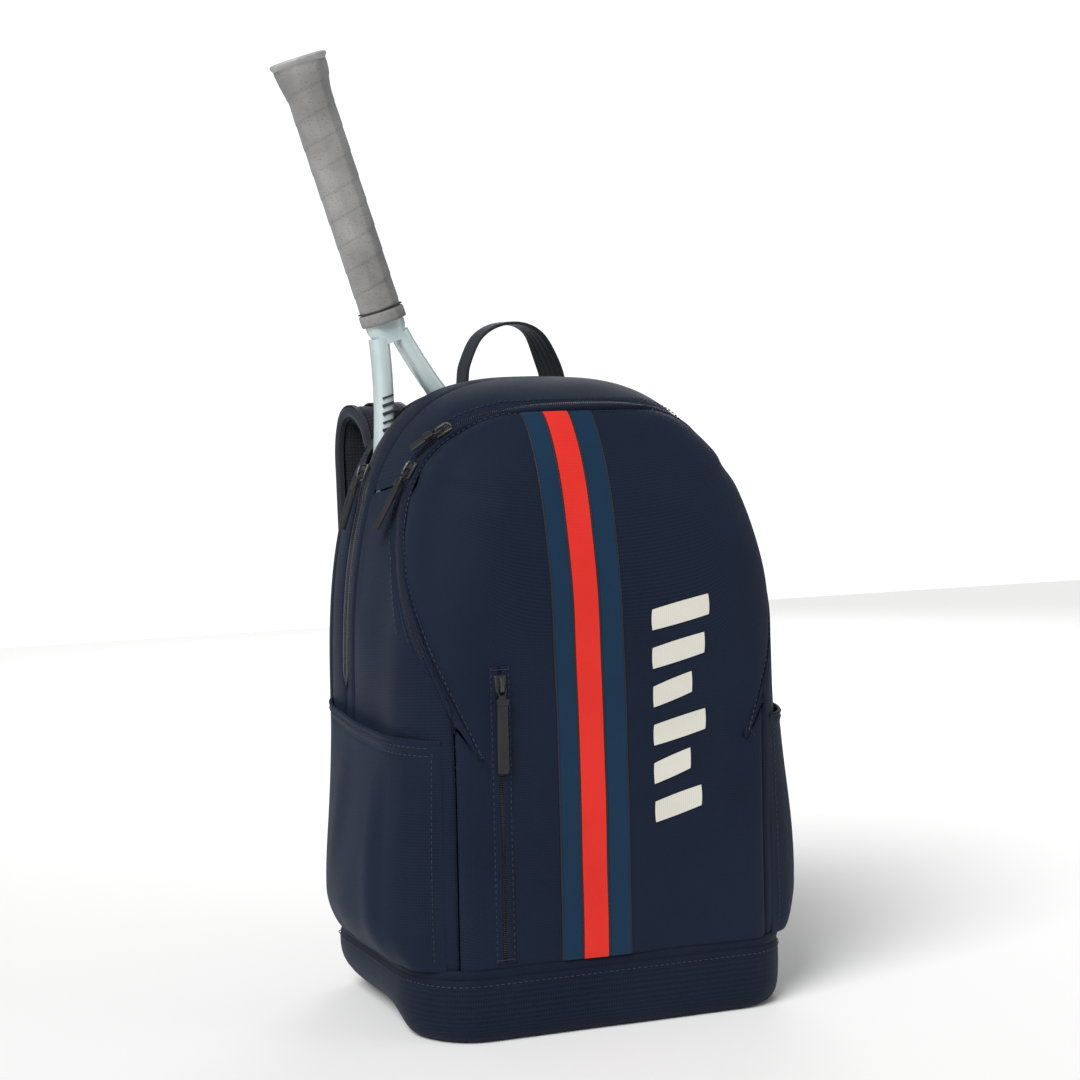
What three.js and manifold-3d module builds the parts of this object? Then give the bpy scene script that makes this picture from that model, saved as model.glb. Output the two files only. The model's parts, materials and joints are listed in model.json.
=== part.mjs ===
// Racket backpack with one tennis racket in its rear compartment.
// Millimetres. +Z is up, -Y is the front of the bag, +Y is the wearer's back, +X is to the right
// when the front is looked at. The origin is the middle of the underside.
import * as THREE from 'three';
import { mergeVertices } from 'three/addons/utils/BufferGeometryUtils.js';
import Module from 'manifold-3d';

const wasm = await Module();
wasm.setup();

// ---------------------------------------------------------------- driving dimensions
const BODY_HALF_WIDTH = 141;
const BODY_HEIGHT = 446;
const FRONT_Y = -105;
const BACK_Y = 113;
const BOOT_HEIGHT = 50;
const BOOT_FULL = 30;
const BOOT_TUCK = 24;
const WALL = 4;
const GAP = 0.3;

// The rounding of the body: arches across X, stacked from the front face to the back.
const ARCH_SPRING = 200;
const ARCH_POWER = 2.9;
const FRONT_ROUND_DEPTH = 59;
const FRONT_ROUND_WIDTH = 42;
const FRONT_ROUND_HEIGHT = 150;
const CREST_Y = 20;
const CREST_FALL = 17;
const BACK_ROUND_Y = 60;
const BACK_ROUND_WIDTH = 8;
const BACK_ROUND_HEIGHT = 10;

// Racket compartment and back.
const DIVIDER_Y = 36;
const DIVIDER_THICK = 3;
const BACK_PANEL_Y = 103.3;
const PAD_THICK = 8;

// Zips.
const TAPE_HALF = 7;
const CHAIN_HALF = 2.6;
const MAIN_ZIP_FOOT = 252;
const RACKET_ZIP_FOOT = 232;
const POCKET_ZIP_X = -84;
const POCKET_ZIP_LOW = 54;
const POCKET_ZIP_HIGH = 256;

// Side view (y, z) of the seam that carries the main zip, from the boot to past the crest.
const MAIN_SEAM = [
  [-100.5, 30], [-100.5, 210], [-98, 226], [-89, 252], [-68, 290], [-41, 333], [-30, 357],
  [-25, 380], [-28, 403], [-38, 418], [-54, 428], [-80, 437], [-120, 448],
];
// The same for the racket compartment's zip.
const RACKET_SEAM = [
  [54, 30], [54, 330], [57, 360], [64, 390], [71, 412], [76, 432], [78, 470],
];

// Racket, measured from the middle of its head.
const RACKET_LENGTH = 685;
const HEAD_HALF_WIDTH = 124;
const HEAD_HALF_LENGTH = 168;
const BEAM_WIDTH = 12;
const BEAM_DEPTH = 21;
const GRIP_LENGTH = 203;
const RACKET_TILT = 17.7 * Math.PI / 180;
const RACKET_PLACE = new THREE.Vector3(3, 87, 186);
const MOUTH_FRONT_Y = 75;
const MOUTH_BACK_Y = 99.6;

// Shoulder straps and haul loop.
const STRAP_WIDTH = 60;
const STRAP_THICK = 11;
const WEB_WIDTH = 25;
const WEB_THICK = 2;

// ---------------------------------------------------------------- finishes
function finish(color, roughness, metalness = 0) {
  return new THREE.MeshStandardMaterial({ color, roughness, metalness });
}

const NAVY = () => finish(0x1b263c, 0.8);
const NAVY_LIGHT = () => finish(0x24304a, 0.8);
const BLACK_CLOTH = () => finish(0x101218, 0.85);
const BLACK_METAL = () => finish(0x16171a, 0.4, 0.6);
const BLACK_RUBBER = () => finish(0x141519, 0.6);
const RED_TAPE = () => finish(0xe83a30, 0.7);
const BLUE_TAPE = () => finish(0x1b3a63, 0.7);
const CREAM_PRINT = () => finish(0xebe6da, 0.6);
const FOAM = () => finish(0x2a2d34, 0.9);
const FRAME_PAINT = () => finish(0xd9ecec, 0.3);
const GRIP_TAPE = () => finish(0xa7a6a4, 0.75);
const STRING_GUT = () => finish(0xe6e4d4, 0.5);

// ---------------------------------------------------------------- solids
// A closed body from vertices and triangles, turned outward if it came out inside out.
function solidFrom(vertices, triangles) {
  let volume = 0;
  for (let i = 0; i < triangles.length; i += 3) {
    const [a, b, c] = [0, 1, 2].map((k) => vertices[triangles[i + k]]);
    volume += a.dot(b.clone().cross(c));
  }
  if (volume < 0) {
    triangles.reverse();
  }
  const vertProperties = new Float32Array(vertices.flatMap((v) => [v.x, v.y, v.z]));
  const triVerts = new Uint32Array(triangles);
  return new wasm.Manifold(new wasm.Mesh({ numProp: 3, vertProperties, triVerts }));
}

// The body between equal rings of points, with a fan over each end.
function loft(rings) {
  const count = rings[0].length;
  const vertices = rings.flat();
  const triangles = [];
  for (let r = 0; r + 1 < rings.length; r += 1) {
    for (let i = 0; i < count; i += 1) {
      const j = (i + 1) % count;
      const [a, b] = [r * count + i, r * count + j];
      const [c, d] = [a + count, b + count];
      triangles.push(a, b, d, a, d, c);
    }
  }
  for (const [ring, flip] of [[0, true], [rings.length - 1, false]]) {
    const centre = new THREE.Vector3();
    rings[ring].forEach((v) => centre.addScaledVector(v, 1 / count));
    const hub = vertices.push(centre) - 1;
    for (let i = 0; i < count; i += 1) {
      const a = ring * count + i;
      const b = ring * count + ((i + 1) % count);
      triangles.push(...(flip ? [hub, b, a] : [hub, a, b]));
    }
  }
  return solidFrom(vertices, triangles);
}

// A curved sheet between two equal grids of points, closed round its rim.
function sheet(outer, inner) {
  const rows = outer.length;
  const columns = outer[0].length;
  const vertices = [...outer.flat(), ...inner.flat()];
  const at = (side, r, c) => side * rows * columns + r * columns + c;
  const triangles = [];
  const quad = (a, b, c, d) => triangles.push(a, b, c, a, c, d);
  for (let r = 0; r + 1 < rows; r += 1) {
    for (let c = 0; c + 1 < columns; c += 1) {
      quad(at(0, r, c), at(0, r, c + 1), at(0, r + 1, c + 1), at(0, r + 1, c));
      quad(at(1, r, c), at(1, r + 1, c), at(1, r + 1, c + 1), at(1, r, c + 1));
    }
    quad(at(0, r, 0), at(0, r + 1, 0), at(1, r + 1, 0), at(1, r, 0));
    const end = columns - 1;
    quad(at(0, r + 1, end), at(0, r, end), at(1, r, end), at(1, r + 1, end));
  }
  for (let c = 0; c + 1 < columns; c += 1) {
    quad(at(0, 0, c + 1), at(0, 0, c), at(1, 0, c), at(1, 0, c + 1));
    quad(at(0, rows - 1, c), at(0, rows - 1, c + 1), at(1, rows - 1, c + 1), at(1, rows - 1, c));
  }
  return solidFrom(vertices, triangles);
}

function solidOf(geometry) {
  const bare = geometry.clone();
  bare.deleteAttribute('normal');
  bare.deleteAttribute('uv');
  const merged = mergeVertices(bare, 1e-4);
  const place = merged.attributes.position;
  const vertices = [];
  for (let i = 0; i < place.count; i += 1) {
    vertices.push(new THREE.Vector3().fromBufferAttribute(place, i));
  }
  return solidFrom(vertices, Array.from(merged.index.array));
}

function shapeOf(points) {
  return new THREE.Shape(points.map(([a, b]) => new THREE.Vector2(a, b)));
}

function extruded(shape, depth, basis, settings = {}) {
  const options = { depth, bevelEnabled: false, curveSegments: 8, ...settings };
  return solidOf(new THREE.ExtrudeGeometry(shape, options).applyMatrix4(basis));
}

const X_AXIS = new THREE.Vector3(1, 0, 0);
const Y_AXIS = new THREE.Vector3(0, 1, 0);
const Z_AXIS = new THREE.Vector3(0, 0, 1);

// Prisms whose outline lies across one axis.
function prismAlongX(points, low, high) {
  const basis = new THREE.Matrix4().makeBasis(Y_AXIS, Z_AXIS, X_AXIS).setPosition(low, 0, 0);
  return extruded(shapeOf(points), high - low, basis);
}

function prismAlongY(points, low, high) {
  const basis = new THREE.Matrix4().makeBasis(X_AXIS, Z_AXIS, Y_AXIS.clone().negate());
  return extruded(shapeOf(points), high - low, basis.setPosition(0, high, 0));
}

function block(low, high) {
  const size = high.map((v, i) => v - low[i]);
  const middle = high.map((v, i) => (v + low[i]) / 2);
  return solidOf(new THREE.BoxGeometry(...size).translate(...middle));
}

function roundedRectangle(width, height, radius) {
  const shape = new THREE.Shape();
  const [w, h] = [width / 2 - radius, height / 2 - radius];
  shape.absarc(w, h, radius, 0, Math.PI / 2);
  shape.absarc(-w, h, radius, Math.PI / 2, Math.PI);
  shape.absarc(-w, -h, radius, Math.PI, 1.5 * Math.PI);
  shape.absarc(w, -h, radius, 1.5 * Math.PI, 2 * Math.PI);
  return shape;
}

function meshOf(solid, material, name) {
  const { vertProperties, triVerts } = solid.getMesh();
  const geometry = new THREE.BufferGeometry();
  geometry.setAttribute('position', new THREE.BufferAttribute(vertProperties, 3));
  geometry.setIndex(new THREE.BufferAttribute(triVerts, 1));
  geometry.computeVertexNormals();
  const mesh = new THREE.Mesh(geometry, material);
  mesh.name = name;
  return mesh;
}

// ---------------------------------------------------------------- the body's outer surface
function clamp01(value) {
  return THREE.MathUtils.clamp(value, 0, 1);
}

function frontRound(y) {
  const u = clamp01((FRONT_Y + FRONT_ROUND_DEPTH - y) / FRONT_ROUND_DEPTH);
  return 1 - Math.sqrt(1 - u * u);
}

function backRound(y) {
  return clamp01((y - BACK_ROUND_Y) / (BACK_Y - BACK_ROUND_Y)) ** 2;
}

function halfWidth(y) {
  return BODY_HALF_WIDTH - FRONT_ROUND_WIDTH * frontRound(y) - BACK_ROUND_WIDTH * backRound(y);
}

function archHeight(y) {
  const fall = clamp01((CREST_Y - y) / (CREST_Y - FRONT_Y - FRONT_ROUND_DEPTH)) ** 2;
  const lost = CREST_FALL * fall + FRONT_ROUND_HEIGHT * frontRound(y) + BACK_ROUND_HEIGHT * backRound(y);
  return BODY_HEIGHT - lost;
}

// Half width of the outer surface at a depth and a height.
function sideX(y, z) {
  const rise = clamp01((z - ARCH_SPRING) / (archHeight(y) - ARCH_SPRING));
  return halfWidth(y) * (1 - rise ** ARCH_POWER) ** (1 / ARCH_POWER);
}

function stations() {
  const list = [];
  const frontSteps = 6;
  for (let i = 0; i < frontSteps; i += 1) {
    list.push(FRONT_Y + FRONT_ROUND_DEPTH * (1 - Math.cos((i / frontSteps) * Math.PI / 2)));
  }
  list.push(-46, -20, CREST_Y, BACK_ROUND_Y, 82, 99, BACK_Y);
  return list;
}

// The body shrunk by an inset on every side, from a floor up. A negative inset grows it.
function bodySolid(inset, floor, archSteps = 20) {
  const depth = BACK_Y - FRONT_Y;
  const rings = stations().map((y) => {
    const place = FRONT_Y + inset + (y - FRONT_Y) * (depth - 2 * inset) / depth;
    const half = halfWidth(y) - inset;
    const rise = archHeight(y) - inset - ARCH_SPRING;
    const ring = [new THREE.Vector3(-half, place, floor)];
    for (let i = 0; i <= archSteps; i += 1) {
      const angle = Math.PI * i / archSteps;
      const across = Math.sign(Math.cos(angle)) * Math.abs(Math.cos(angle)) ** (2 / ARCH_POWER);
      const up = Math.max(Math.sin(angle), 0) ** (2 / ARCH_POWER);
      ring.push(new THREE.Vector3(-half * across, place, ARCH_SPRING + rise * up));
    }
    ring.push(new THREE.Vector3(half, place, floor));
    return ring;
  });
  return loft(rings);
}

// A shell between two insets, above the boot.
function bodyShell(outerInset, innerInset, archSteps = 20) {
  const floor = BOOT_HEIGHT + GAP;
  return bodySolid(outerInset, floor, archSteps).subtract(bodySolid(innerInset, floor - 10, archSteps));
}

// ---------------------------------------------------------------- seam regions in the side view
const FAR = 400;

function offsetSeam(seam, distance) {
  return seam.map(([y, z], i) => {
    const [y0, z0] = seam[Math.max(i - 1, 0)];
    const [y1, z1] = seam[Math.min(i + 1, seam.length - 1)];
    const length = Math.hypot(y1 - y0, z1 - z0);
    return [y + distance * (z1 - z0) / length, z - distance * (y1 - y0) / length];
  });
}

// Everything in front of a seam, or behind it, at a distance from it.
function inFrontOf(seam, distance) {
  const edge = offsetSeam(seam, -distance);
  return prismAlongX([...edge, [-FAR, FAR + 100], [-FAR, 30]], -FAR, FAR);
}

function behind(seam, distance) {
  const edge = offsetSeam(seam, distance);
  return prismAlongX([...edge, [edge.at(-1)[0], FAR + 300], [FAR, FAR + 300], [FAR, 30]], -FAR, FAR);
}

function alongSeam(seam, half) {
  const before = offsetSeam(seam, -half);
  const after = offsetSeam(seam, half).reverse();
  return prismAlongX([...before, ...after], -FAR, FAR);
}

function slab(yLow, yHigh, zLow, zHigh) {
  return block([-FAR, yLow, zLow], [FAR, yHigh, zHigh]);
}

function seamY(seam, z) {
  const next = seam.findIndex((point) => point[1] >= z);
  const [y0, z0] = seam[next - 1];
  const [y1, z1] = seam[next];
  return y0 + (y1 - y0) * (z - z0) / (z1 - z0);
}

// ---------------------------------------------------------------- panels
const SHELL = bodyShell(0, WALL);
const SEAM_CUT = TAPE_HALF + GAP;

function withPlainFoot(region, foot) {
  return (seam) => region(seam, SEAM_CUT).add(region(seam, GAP / 2).intersect(slab(-FAR, FAR, 0, foot)));
}

const aheadOfMainZip = withPlainFoot(inFrontOf, MAIN_ZIP_FOOT)(MAIN_SEAM);
const behindMainZip = withPlainFoot(behind, MAIN_ZIP_FOOT)(MAIN_SEAM);
const aheadOfRacketZip = withPlainFoot(inFrontOf, RACKET_ZIP_FOOT)(RACKET_SEAM);
const behindRacketZip = withPlainFoot(behind, RACKET_ZIP_FOOT)(RACKET_SEAM);

function pocketZipSlot(half, low, high) {
  return block([POCKET_ZIP_X - half, FRONT_Y - 5, low], [POCKET_ZIP_X + half, FRONT_Y + 20, high]);
}

function frontPanel() {
  const slot = pocketZipSlot(SEAM_CUT - 1, POCKET_ZIP_LOW, POCKET_ZIP_HIGH);
  return SHELL.intersect(aheadOfMainZip).subtract(slot);
}

// The side of the bag between the two zips is cut into two sides and a top on a slanting seam.
const SHOULDER_SEAM = [[-110, 392], [110, 356]];

function shoulderRegion(above) {
  const far = above ? 600 : 0;
  const shift = above ? GAP / 2 : -GAP / 2;
  const edge = SHOULDER_SEAM.map(([y, z]) => [y, z + shift]);
  return prismAlongX([...edge, [110, far], [-110, far]], -FAR, FAR);
}

const DIVIDER_FRONT = slab(-FAR, DIVIDER_Y - GAP / 2, 0, 600);
const DIVIDER_BEHIND = slab(DIVIDER_Y + GAP / 2, BACK_PANEL_Y - GAP, 0, 600);
const BODY_GUSSET = SHELL.intersect(behindMainZip).intersect(DIVIDER_FRONT);

function half(side) {
  return side < 0 ? block([-FAR, -FAR, 0], [0, FAR, 700]) : block([0, -FAR, 0], [FAR, FAR, 700]);
}

function sidePanel(side) {
  return BODY_GUSSET.intersect(shoulderRegion(false)).intersect(half(side));
}

function topGusset() {
  return BODY_GUSSET.intersect(shoulderRegion(true));
}

// The mouth that the racket's throat comes through, square to the tilted racket.
function mouthCut(front, back) {
  const along = new THREE.Vector2(-Math.sin(RACKET_TILT), Math.cos(RACKET_TILT));
  const across = new THREE.Vector2(along.y, -along.x);
  const corners = [[-52, 190], [68, 190], [54, 330], [-52, 330]].map(([side, up]) => [
    RACKET_PLACE.x + across.x * side + along.x * up,
    RACKET_PLACE.z + across.y * side + along.y * up,
  ]);
  return prismAlongY(corners, front, back);
}

const MOUTH = mouthCut(MOUTH_FRONT_Y, MOUTH_BACK_Y);

function racketGussetFront() {
  return SHELL.intersect(DIVIDER_BEHIND).intersect(aheadOfRacketZip).subtract(MOUTH);
}

function racketGussetRear() {
  return SHELL.intersect(DIVIDER_BEHIND).intersect(behindRacketZip).subtract(MOUTH);
}

// Tape and chain sit in the slot between two panels; the chain stands just proud of the cloth.
const TAPE_SHELL = bodyShell(1.2, 3.2);
const CHAIN_SHELL = bodyShell(-0.9, 0.9);

function zipTape(seam, foot) {
  return TAPE_SHELL.intersect(alongSeam(seam, TAPE_HALF)).intersect(slab(-FAR, FAR, foot + GAP, 600));
}

function zipChain(seam, foot) {
  return CHAIN_SHELL.intersect(alongSeam(seam, CHAIN_HALF)).intersect(slab(-FAR, FAR, foot + 30, 600));
}

function outsideMouth(solid) {
  const apart = solid.subtract(mouthCut(MOUTH_FRONT_Y - 30, MOUTH_BACK_Y + 5));
  return apart.decompose().sort((a, b) => b.boundingBox().max[0] - a.boundingBox().max[0]);
}

// ---------------------------------------------------------------- boot, divider, back
const TUCK_START = -75;
const TUCK_LENGTH = 90;

// A ring of the boot. Its sides tuck in further under the bag behind the front corners.
function bootRing(inset, z, tuck = 0) {
  const depth = BACK_Y - FRONT_Y;
  const left = stations().map((y) => {
    const place = FRONT_Y + inset + (y - FRONT_Y) * (depth - 2 * inset) / depth;
    const under = tuck * THREE.MathUtils.smoothstep(y, TUCK_START, TUCK_START + TUCK_LENGTH);
    return new THREE.Vector3(-(halfWidth(y) - inset - under), place, z);
  });
  const right = [...left].reverse().map((v) => new THREE.Vector3(-v.x, v.y, v.z));
  return [...left, ...right];
}

function boot() {
  const outside = loft([
    bootRing(9, 0, BOOT_TUCK), bootRing(3, 4, 18), bootRing(-0.5, 14, 8),
    bootRing(0, BOOT_FULL), bootRing(0, BOOT_HEIGHT),
  ]);
  const inside = loft([
    bootRing(13, WALL, BOOT_TUCK), bootRing(WALL, 16, 10),
    bootRing(WALL, BOOT_FULL + 2), bootRing(WALL, BOOT_HEIGHT + 5),
  ]);
  return outside.subtract(inside);
}

function baseBoard() {
  return loft([bootRing(15, WALL + GAP, BOOT_TUCK), bootRing(13.5, WALL + GAP + 3, BOOT_TUCK)]);
}

function divider() {
  const low = DIVIDER_Y - DIVIDER_THICK - 1;
  const wall = slab(low, low + DIVIDER_THICK, BOOT_FULL + 3, 600);
  return bodySolid(WALL + GAP, BOOT_HEIGHT - 40).intersect(wall);
}

function backPanel() {
  return bodySolid(0, BOOT_HEIGHT + GAP).intersect(slab(BACK_PANEL_Y, FAR, 0, 600));
}

function backPad(side) {
  const shape = new THREE.Shape();
  shape.absarc(22, 100, 20, 0, Math.PI / 2);
  shape.absarc(-22, 100, 20, Math.PI / 2, Math.PI);
  shape.absarc(-22, -120, 20, Math.PI, 1.5 * Math.PI);
  shape.absarc(22, -120, 20, 1.5 * Math.PI, 2 * Math.PI);
  const basis = new THREE.Matrix4().makeBasis(X_AXIS, Z_AXIS, Y_AXIS.clone().negate());
  basis.setPosition(side * 62, BACK_Y + GAP + PAD_THICK, 220);
  const bevel = { bevelEnabled: true, bevelThickness: 3, bevelSize: 3, bevelOffset: -3, bevelSegments: 1 };
  const pad = extruded(shape, PAD_THICK - 6, basis, { curveSegments: 4, ...bevel });
  return pad.translate([0, -3, 0]);
}

// A flat sheet behind the front panel closes the flat pocket that the upright zip opens.
function frontPocketLining() {
  const cloth = bodySolid(WALL + 4, BOOT_HEIGHT - 20).subtract(bodySolid(WALL + 5.5, BOOT_HEIGHT - 30));
  return cloth.intersect(block([-90, -FAR, BOOT_HEIGHT + 6], [90, -70, 272]));
}

// ---------------------------------------------------------------- stripe and printed mark
function skinBand(outline, lift, thick) {
  const skin = bodyShell(-lift - thick, -lift);
  const upper = inFrontOf(MAIN_SEAM, TAPE_HALF + 3).intersect(slab(-FAR, 0, 255, 600));
  const onFront = upper.add(slab(-FAR, FRONT_Y + 10, BOOT_HEIGHT + 1, 256));
  return skin.intersect(prismAlongY(outline, -FAR, 0)).intersect(onFront);
}

function upright(low, high) {
  return [[low, 0], [high, 0], [high, 600], [low, 600]];
}

const MARK_BARS = 6;
const MARK_LOW = 140;
const MARK_PITCH = 26.5;
const MARK_LEFT = 28;
const MARK_WIDTHS = [36, 28, 40, 30, 40, 44];
const MARK_SLANT = 9;
const MARK_TALL = 15;

function markBar(index) {
  const low = MARK_LOW + index * MARK_PITCH;
  const right = MARK_LEFT + MARK_WIDTHS[index];
  const outline = [
    [MARK_LEFT, low], [right, low + MARK_SLANT],
    [right, low + MARK_SLANT + MARK_TALL], [MARK_LEFT, low + MARK_TALL],
  ];
  return skinBand(outline, 0.3, 0.8);
}

// ---------------------------------------------------------------- side pockets
const POCKET_FRONT_Y = -94;
const POCKET_REAR_Y = 101;
const POCKET_TOP_FRONT = 204;
const POCKET_TOP_REAR = 214;
const POCKET_BULGE = 25;

function pocketX(y, z, top, lift) {
  const along = clamp01((y - POCKET_FRONT_Y) / (POCKET_REAR_Y - POCKET_FRONT_Y));
  const up = clamp01((z - BOOT_HEIGHT) / (top - BOOT_HEIGHT));
  const fore = Math.sin(Math.PI * along ** 0.85) ** 0.6;
  const belly = 0.15 + 0.85 * Math.sin(Math.PI / 2 * clamp01(up / 0.2)) ** 0.8;
  const gather = 1 - 0.62 * THREE.MathUtils.smoothstep(up, 0.22, 0.98);
  return sideX(y, z) + 0.5 + lift + POCKET_BULGE * fore * belly * gather;
}

function sidePocket(side) {
  const rows = 8;
  const columns = 10;
  const grid = (lift) => Array.from({ length: rows + 1 }, (_, r) => (
    Array.from({ length: columns + 1 }, (__, c) => {
      const along = (1 - Math.cos(Math.PI * c / columns)) / 2;
      const y = THREE.MathUtils.lerp(POCKET_FRONT_Y, POCKET_REAR_Y, along);
      const top = THREE.MathUtils.lerp(POCKET_TOP_FRONT, POCKET_TOP_REAR, along);
      const z = THREE.MathUtils.lerp(BOOT_HEIGHT + 1, top, r / rows);
      return new THREE.Vector3(side * pocketX(y, z, top, lift), y, z);
    })
  ));
  return sheet(grid(2.4), grid(0));
}

// ---------------------------------------------------------------- webbing, straps
// A flat band along a path: the width lies along a given direction, the thickness across the path.
function band(path, steps, widthAt, thick, widthDirection) {
  const rings = [];
  for (let i = 0; i <= steps; i += 1) {
    const t = i / steps;
    const place = path.getPointAt(t);
    const tangent = path.getTangentAt(t);
    const wide = widthDirection.clone().addScaledVector(tangent, -widthDirection.dot(tangent)).normalize();
    const out = new THREE.Vector3().crossVectors(tangent, wide);
    const w = widthAt(t) / 2;
    const h = thick / 2;
    const soft = Math.min(h * 0.8, w * 0.3);
    const corners = [
      [w, -h + soft], [w, h - soft], [w - soft, h], [-w + soft, h],
      [-w, h - soft], [-w, -h + soft], [-w + soft, -h], [w - soft, -h],
    ];
    rings.push(corners.map(([a, b]) => place.clone().addScaledVector(wide, a).addScaledVector(out, b)));
  }
  return loft(rings);
}

function curveThrough(points) {
  return new THREE.CatmullRomCurve3(points.map((p) => new THREE.Vector3(...p)), false, 'centripetal');
}

const HAUL_FOOT = new THREE.Vector3(11, 110, 443);

function haulLoop() {
  const points = [
    [-37, 0, 0], [-35, 0, 14], [-25, 0, 33], [-10, 0, 43],
    [8, 0, 44], [22, 0, 36], [32, 0, 16], [37, 0, 0],
  ];
  return band(curveThrough(points), 18, () => 20, 2.4, Y_AXIS);
}

function strapPath(side) {
  return curveThrough([
    [side * 70, 121.5, 397], [side * 72, 129, 414], [side * 75, 145, 423], [side * 78, 160, 417],
    [side * 80, 164, 396], [side * 81, 160, 366], [side * 84, 148, 310], [side * 88, 139, 255],
    [side * 92, 135.5, 205], [side * 96, 135.5, 160],
  ]);
}

function shoulderStrap(side) {
  const taper = (t) => STRAP_WIDTH - 22 * clamp01((t - 0.72) / 0.28) ** 1.4;
  return band(strapPath(side), 26, taper, STRAP_THICK, X_AXIS);
}

// A short web stitched under the strap's end carries the ladder buckle.
function strapTail(side) {
  const path = curveThrough([[side * 96, 135.4, 152], [side * 96, 132.6, 138], [side * 96, 131, 128]]);
  return band(path, 4, () => WEB_WIDTH, WEB_THICK, X_AXIS);
}

const BUCKLE_PLACE = (side) => new THREE.Vector3(side * 96, 129.5, 113);

function ladderBuckle() {
  const shape = roundedRectangle(34, 26, 4);
  for (const rise of [-5.6, 5.6]) {
    const slot = new THREE.Path();
    slot.moveTo(-13, rise - 2.6);
    slot.lineTo(13, rise - 2.6);
    slot.lineTo(13, rise + 2.6);
    slot.lineTo(-13, rise + 2.6);
    slot.closePath();
    shape.holes.push(slot);
  }
  const basis = new THREE.Matrix4().makeBasis(X_AXIS, Z_AXIS, Y_AXIS.clone().negate()).setPosition(0, 2, 0);
  return extruded(shape, 4, basis, { curveSegments: 3 });
}

// The lower web runs from the wing at the boot's rear corner up to the buckle.
function lowerWeb(side) {
  const path = curveThrough([
    [side * 108, 118.6, 62], [side * 104, 121.5, 78], [side * 99, 124.3, 98],
    [side * 96, 124.4, 120], [side * 96, 123.4, 134],
  ]);
  return band(path, 8, () => WEB_WIDTH, WEB_THICK, X_AXIS);
}

function anchorWing(side) {
  const outline = [[side * 128, 52.5], [side * 84, 52.5], [side * 92, 70], [side * 124, 82]];
  return prismAlongY(outline, BACK_Y + GAP, BACK_Y + GAP + 3);
}

function strapYoke() {
  const shape = roundedRectangle(210, 44, 8);
  const basis = new THREE.Matrix4().makeBasis(X_AXIS, Z_AXIS, Y_AXIS.clone().negate());
  basis.setPosition(0, BACK_Y + GAP + 2, 366);
  return extruded(shape, 2, basis, { curveSegments: 3 });
}

// ---------------------------------------------------------------- zip sliders and pulls
// Slider and pull lie with +Z up the zip and -Y out of the cloth; their origin is on the cloth.
function slider() {
  const plate = roundedRectangle(9, 13, 2.5);
  const face = new THREE.Matrix4().makeBasis(X_AXIS, Z_AXIS, Y_AXIS.clone().negate()).setPosition(0, -1.3, 0);
  const base = extruded(plate, 2.7, face, { curveSegments: 2 });
  const bridge = [
    [-3.8, -6], [-6.6, -6], [-8.2, -4.4], [-8.2, 3.4], [-6.6, 5],
    [-3.8, 5], [-3.8, 3], [-6.8, 3], [-6.8, -4], [-3.8, -4],
  ];
  return base.add(prismAlongX(bridge, -1.5, 1.5));
}

function pull(length) {
  const shape = new THREE.Shape();
  shape.absarc(0, -2.6, 3.6, 0, Math.PI);
  shape.lineTo(-3.6, -8);
  shape.absarc(-2, -length + 2, 2.5, Math.PI, 1.5 * Math.PI);
  shape.absarc(2, -length + 2, 2.5, 1.5 * Math.PI, 2 * Math.PI);
  shape.lineTo(3.6, -8);
  const eye = roundedRectangle(4.6, 6.4, 1);
  shape.holes.push(new THREE.Path(eye.getPoints(1).map((p) => new THREE.Vector2(p.x, p.y - 4.2))));
  const face = new THREE.Matrix4().makeBasis(X_AXIS, Z_AXIS, Y_AXIS.clone().negate()).setPosition(0, -4.6, 0);
  return extruded(shape, 1.6, face, { curveSegments: 2 });
}

// Where a slider sits: on the left or right of a seam at a height, turned to the cloth there.
function onSeam(seam, z, side) {
  const place = (height) => {
    const y = seamY(seam, height);
    return new THREE.Vector3(side * sideX(y, height), y, height);
  };
  const step = 0.5;
  const up = place(z + 6).sub(place(z - 6)).normalize();
  const y = seamY(seam, z);
  const slopeY = (sideX(y + step, z) - sideX(y - step, z)) / (2 * step);
  const slopeZ = (sideX(y, z + step) - sideX(y, z - step)) / (2 * step);
  const out = new THREE.Vector3(side, -slopeY, -slopeZ).normalize();
  out.addScaledVector(up, -out.dot(up)).normalize();
  const across = new THREE.Vector3().crossVectors(out.clone().negate(), up);
  const turn = new THREE.Matrix4().makeBasis(across, out.clone().negate(), up);
  return { place: place(z), turn };
}

function sliderSet(name, place, turn, pullLength) {
  const set = new THREE.Group();
  set.position.copy(place);
  set.quaternion.setFromRotationMatrix(turn);
  set.add(meshOf(slider(), BLACK_METAL(), `${name}_slider`));
  set.add(meshOf(pull(pullLength), BLACK_RUBBER(), `${name}_pull`));
  return set;
}

// ---------------------------------------------------------------- racket
// Drawn upright with the middle of its head at the origin and the handle up +Z.
function onHead(angle, grow = 0) {
  return [(HEAD_HALF_WIDTH + grow) * Math.cos(angle), (HEAD_HALF_LENGTH + grow) * Math.sin(angle)];
}

const GRIP_START = RACKET_LENGTH - HEAD_HALF_LENGTH - GRIP_LENGTH;
const SHAFT_HALF = 15;

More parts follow.
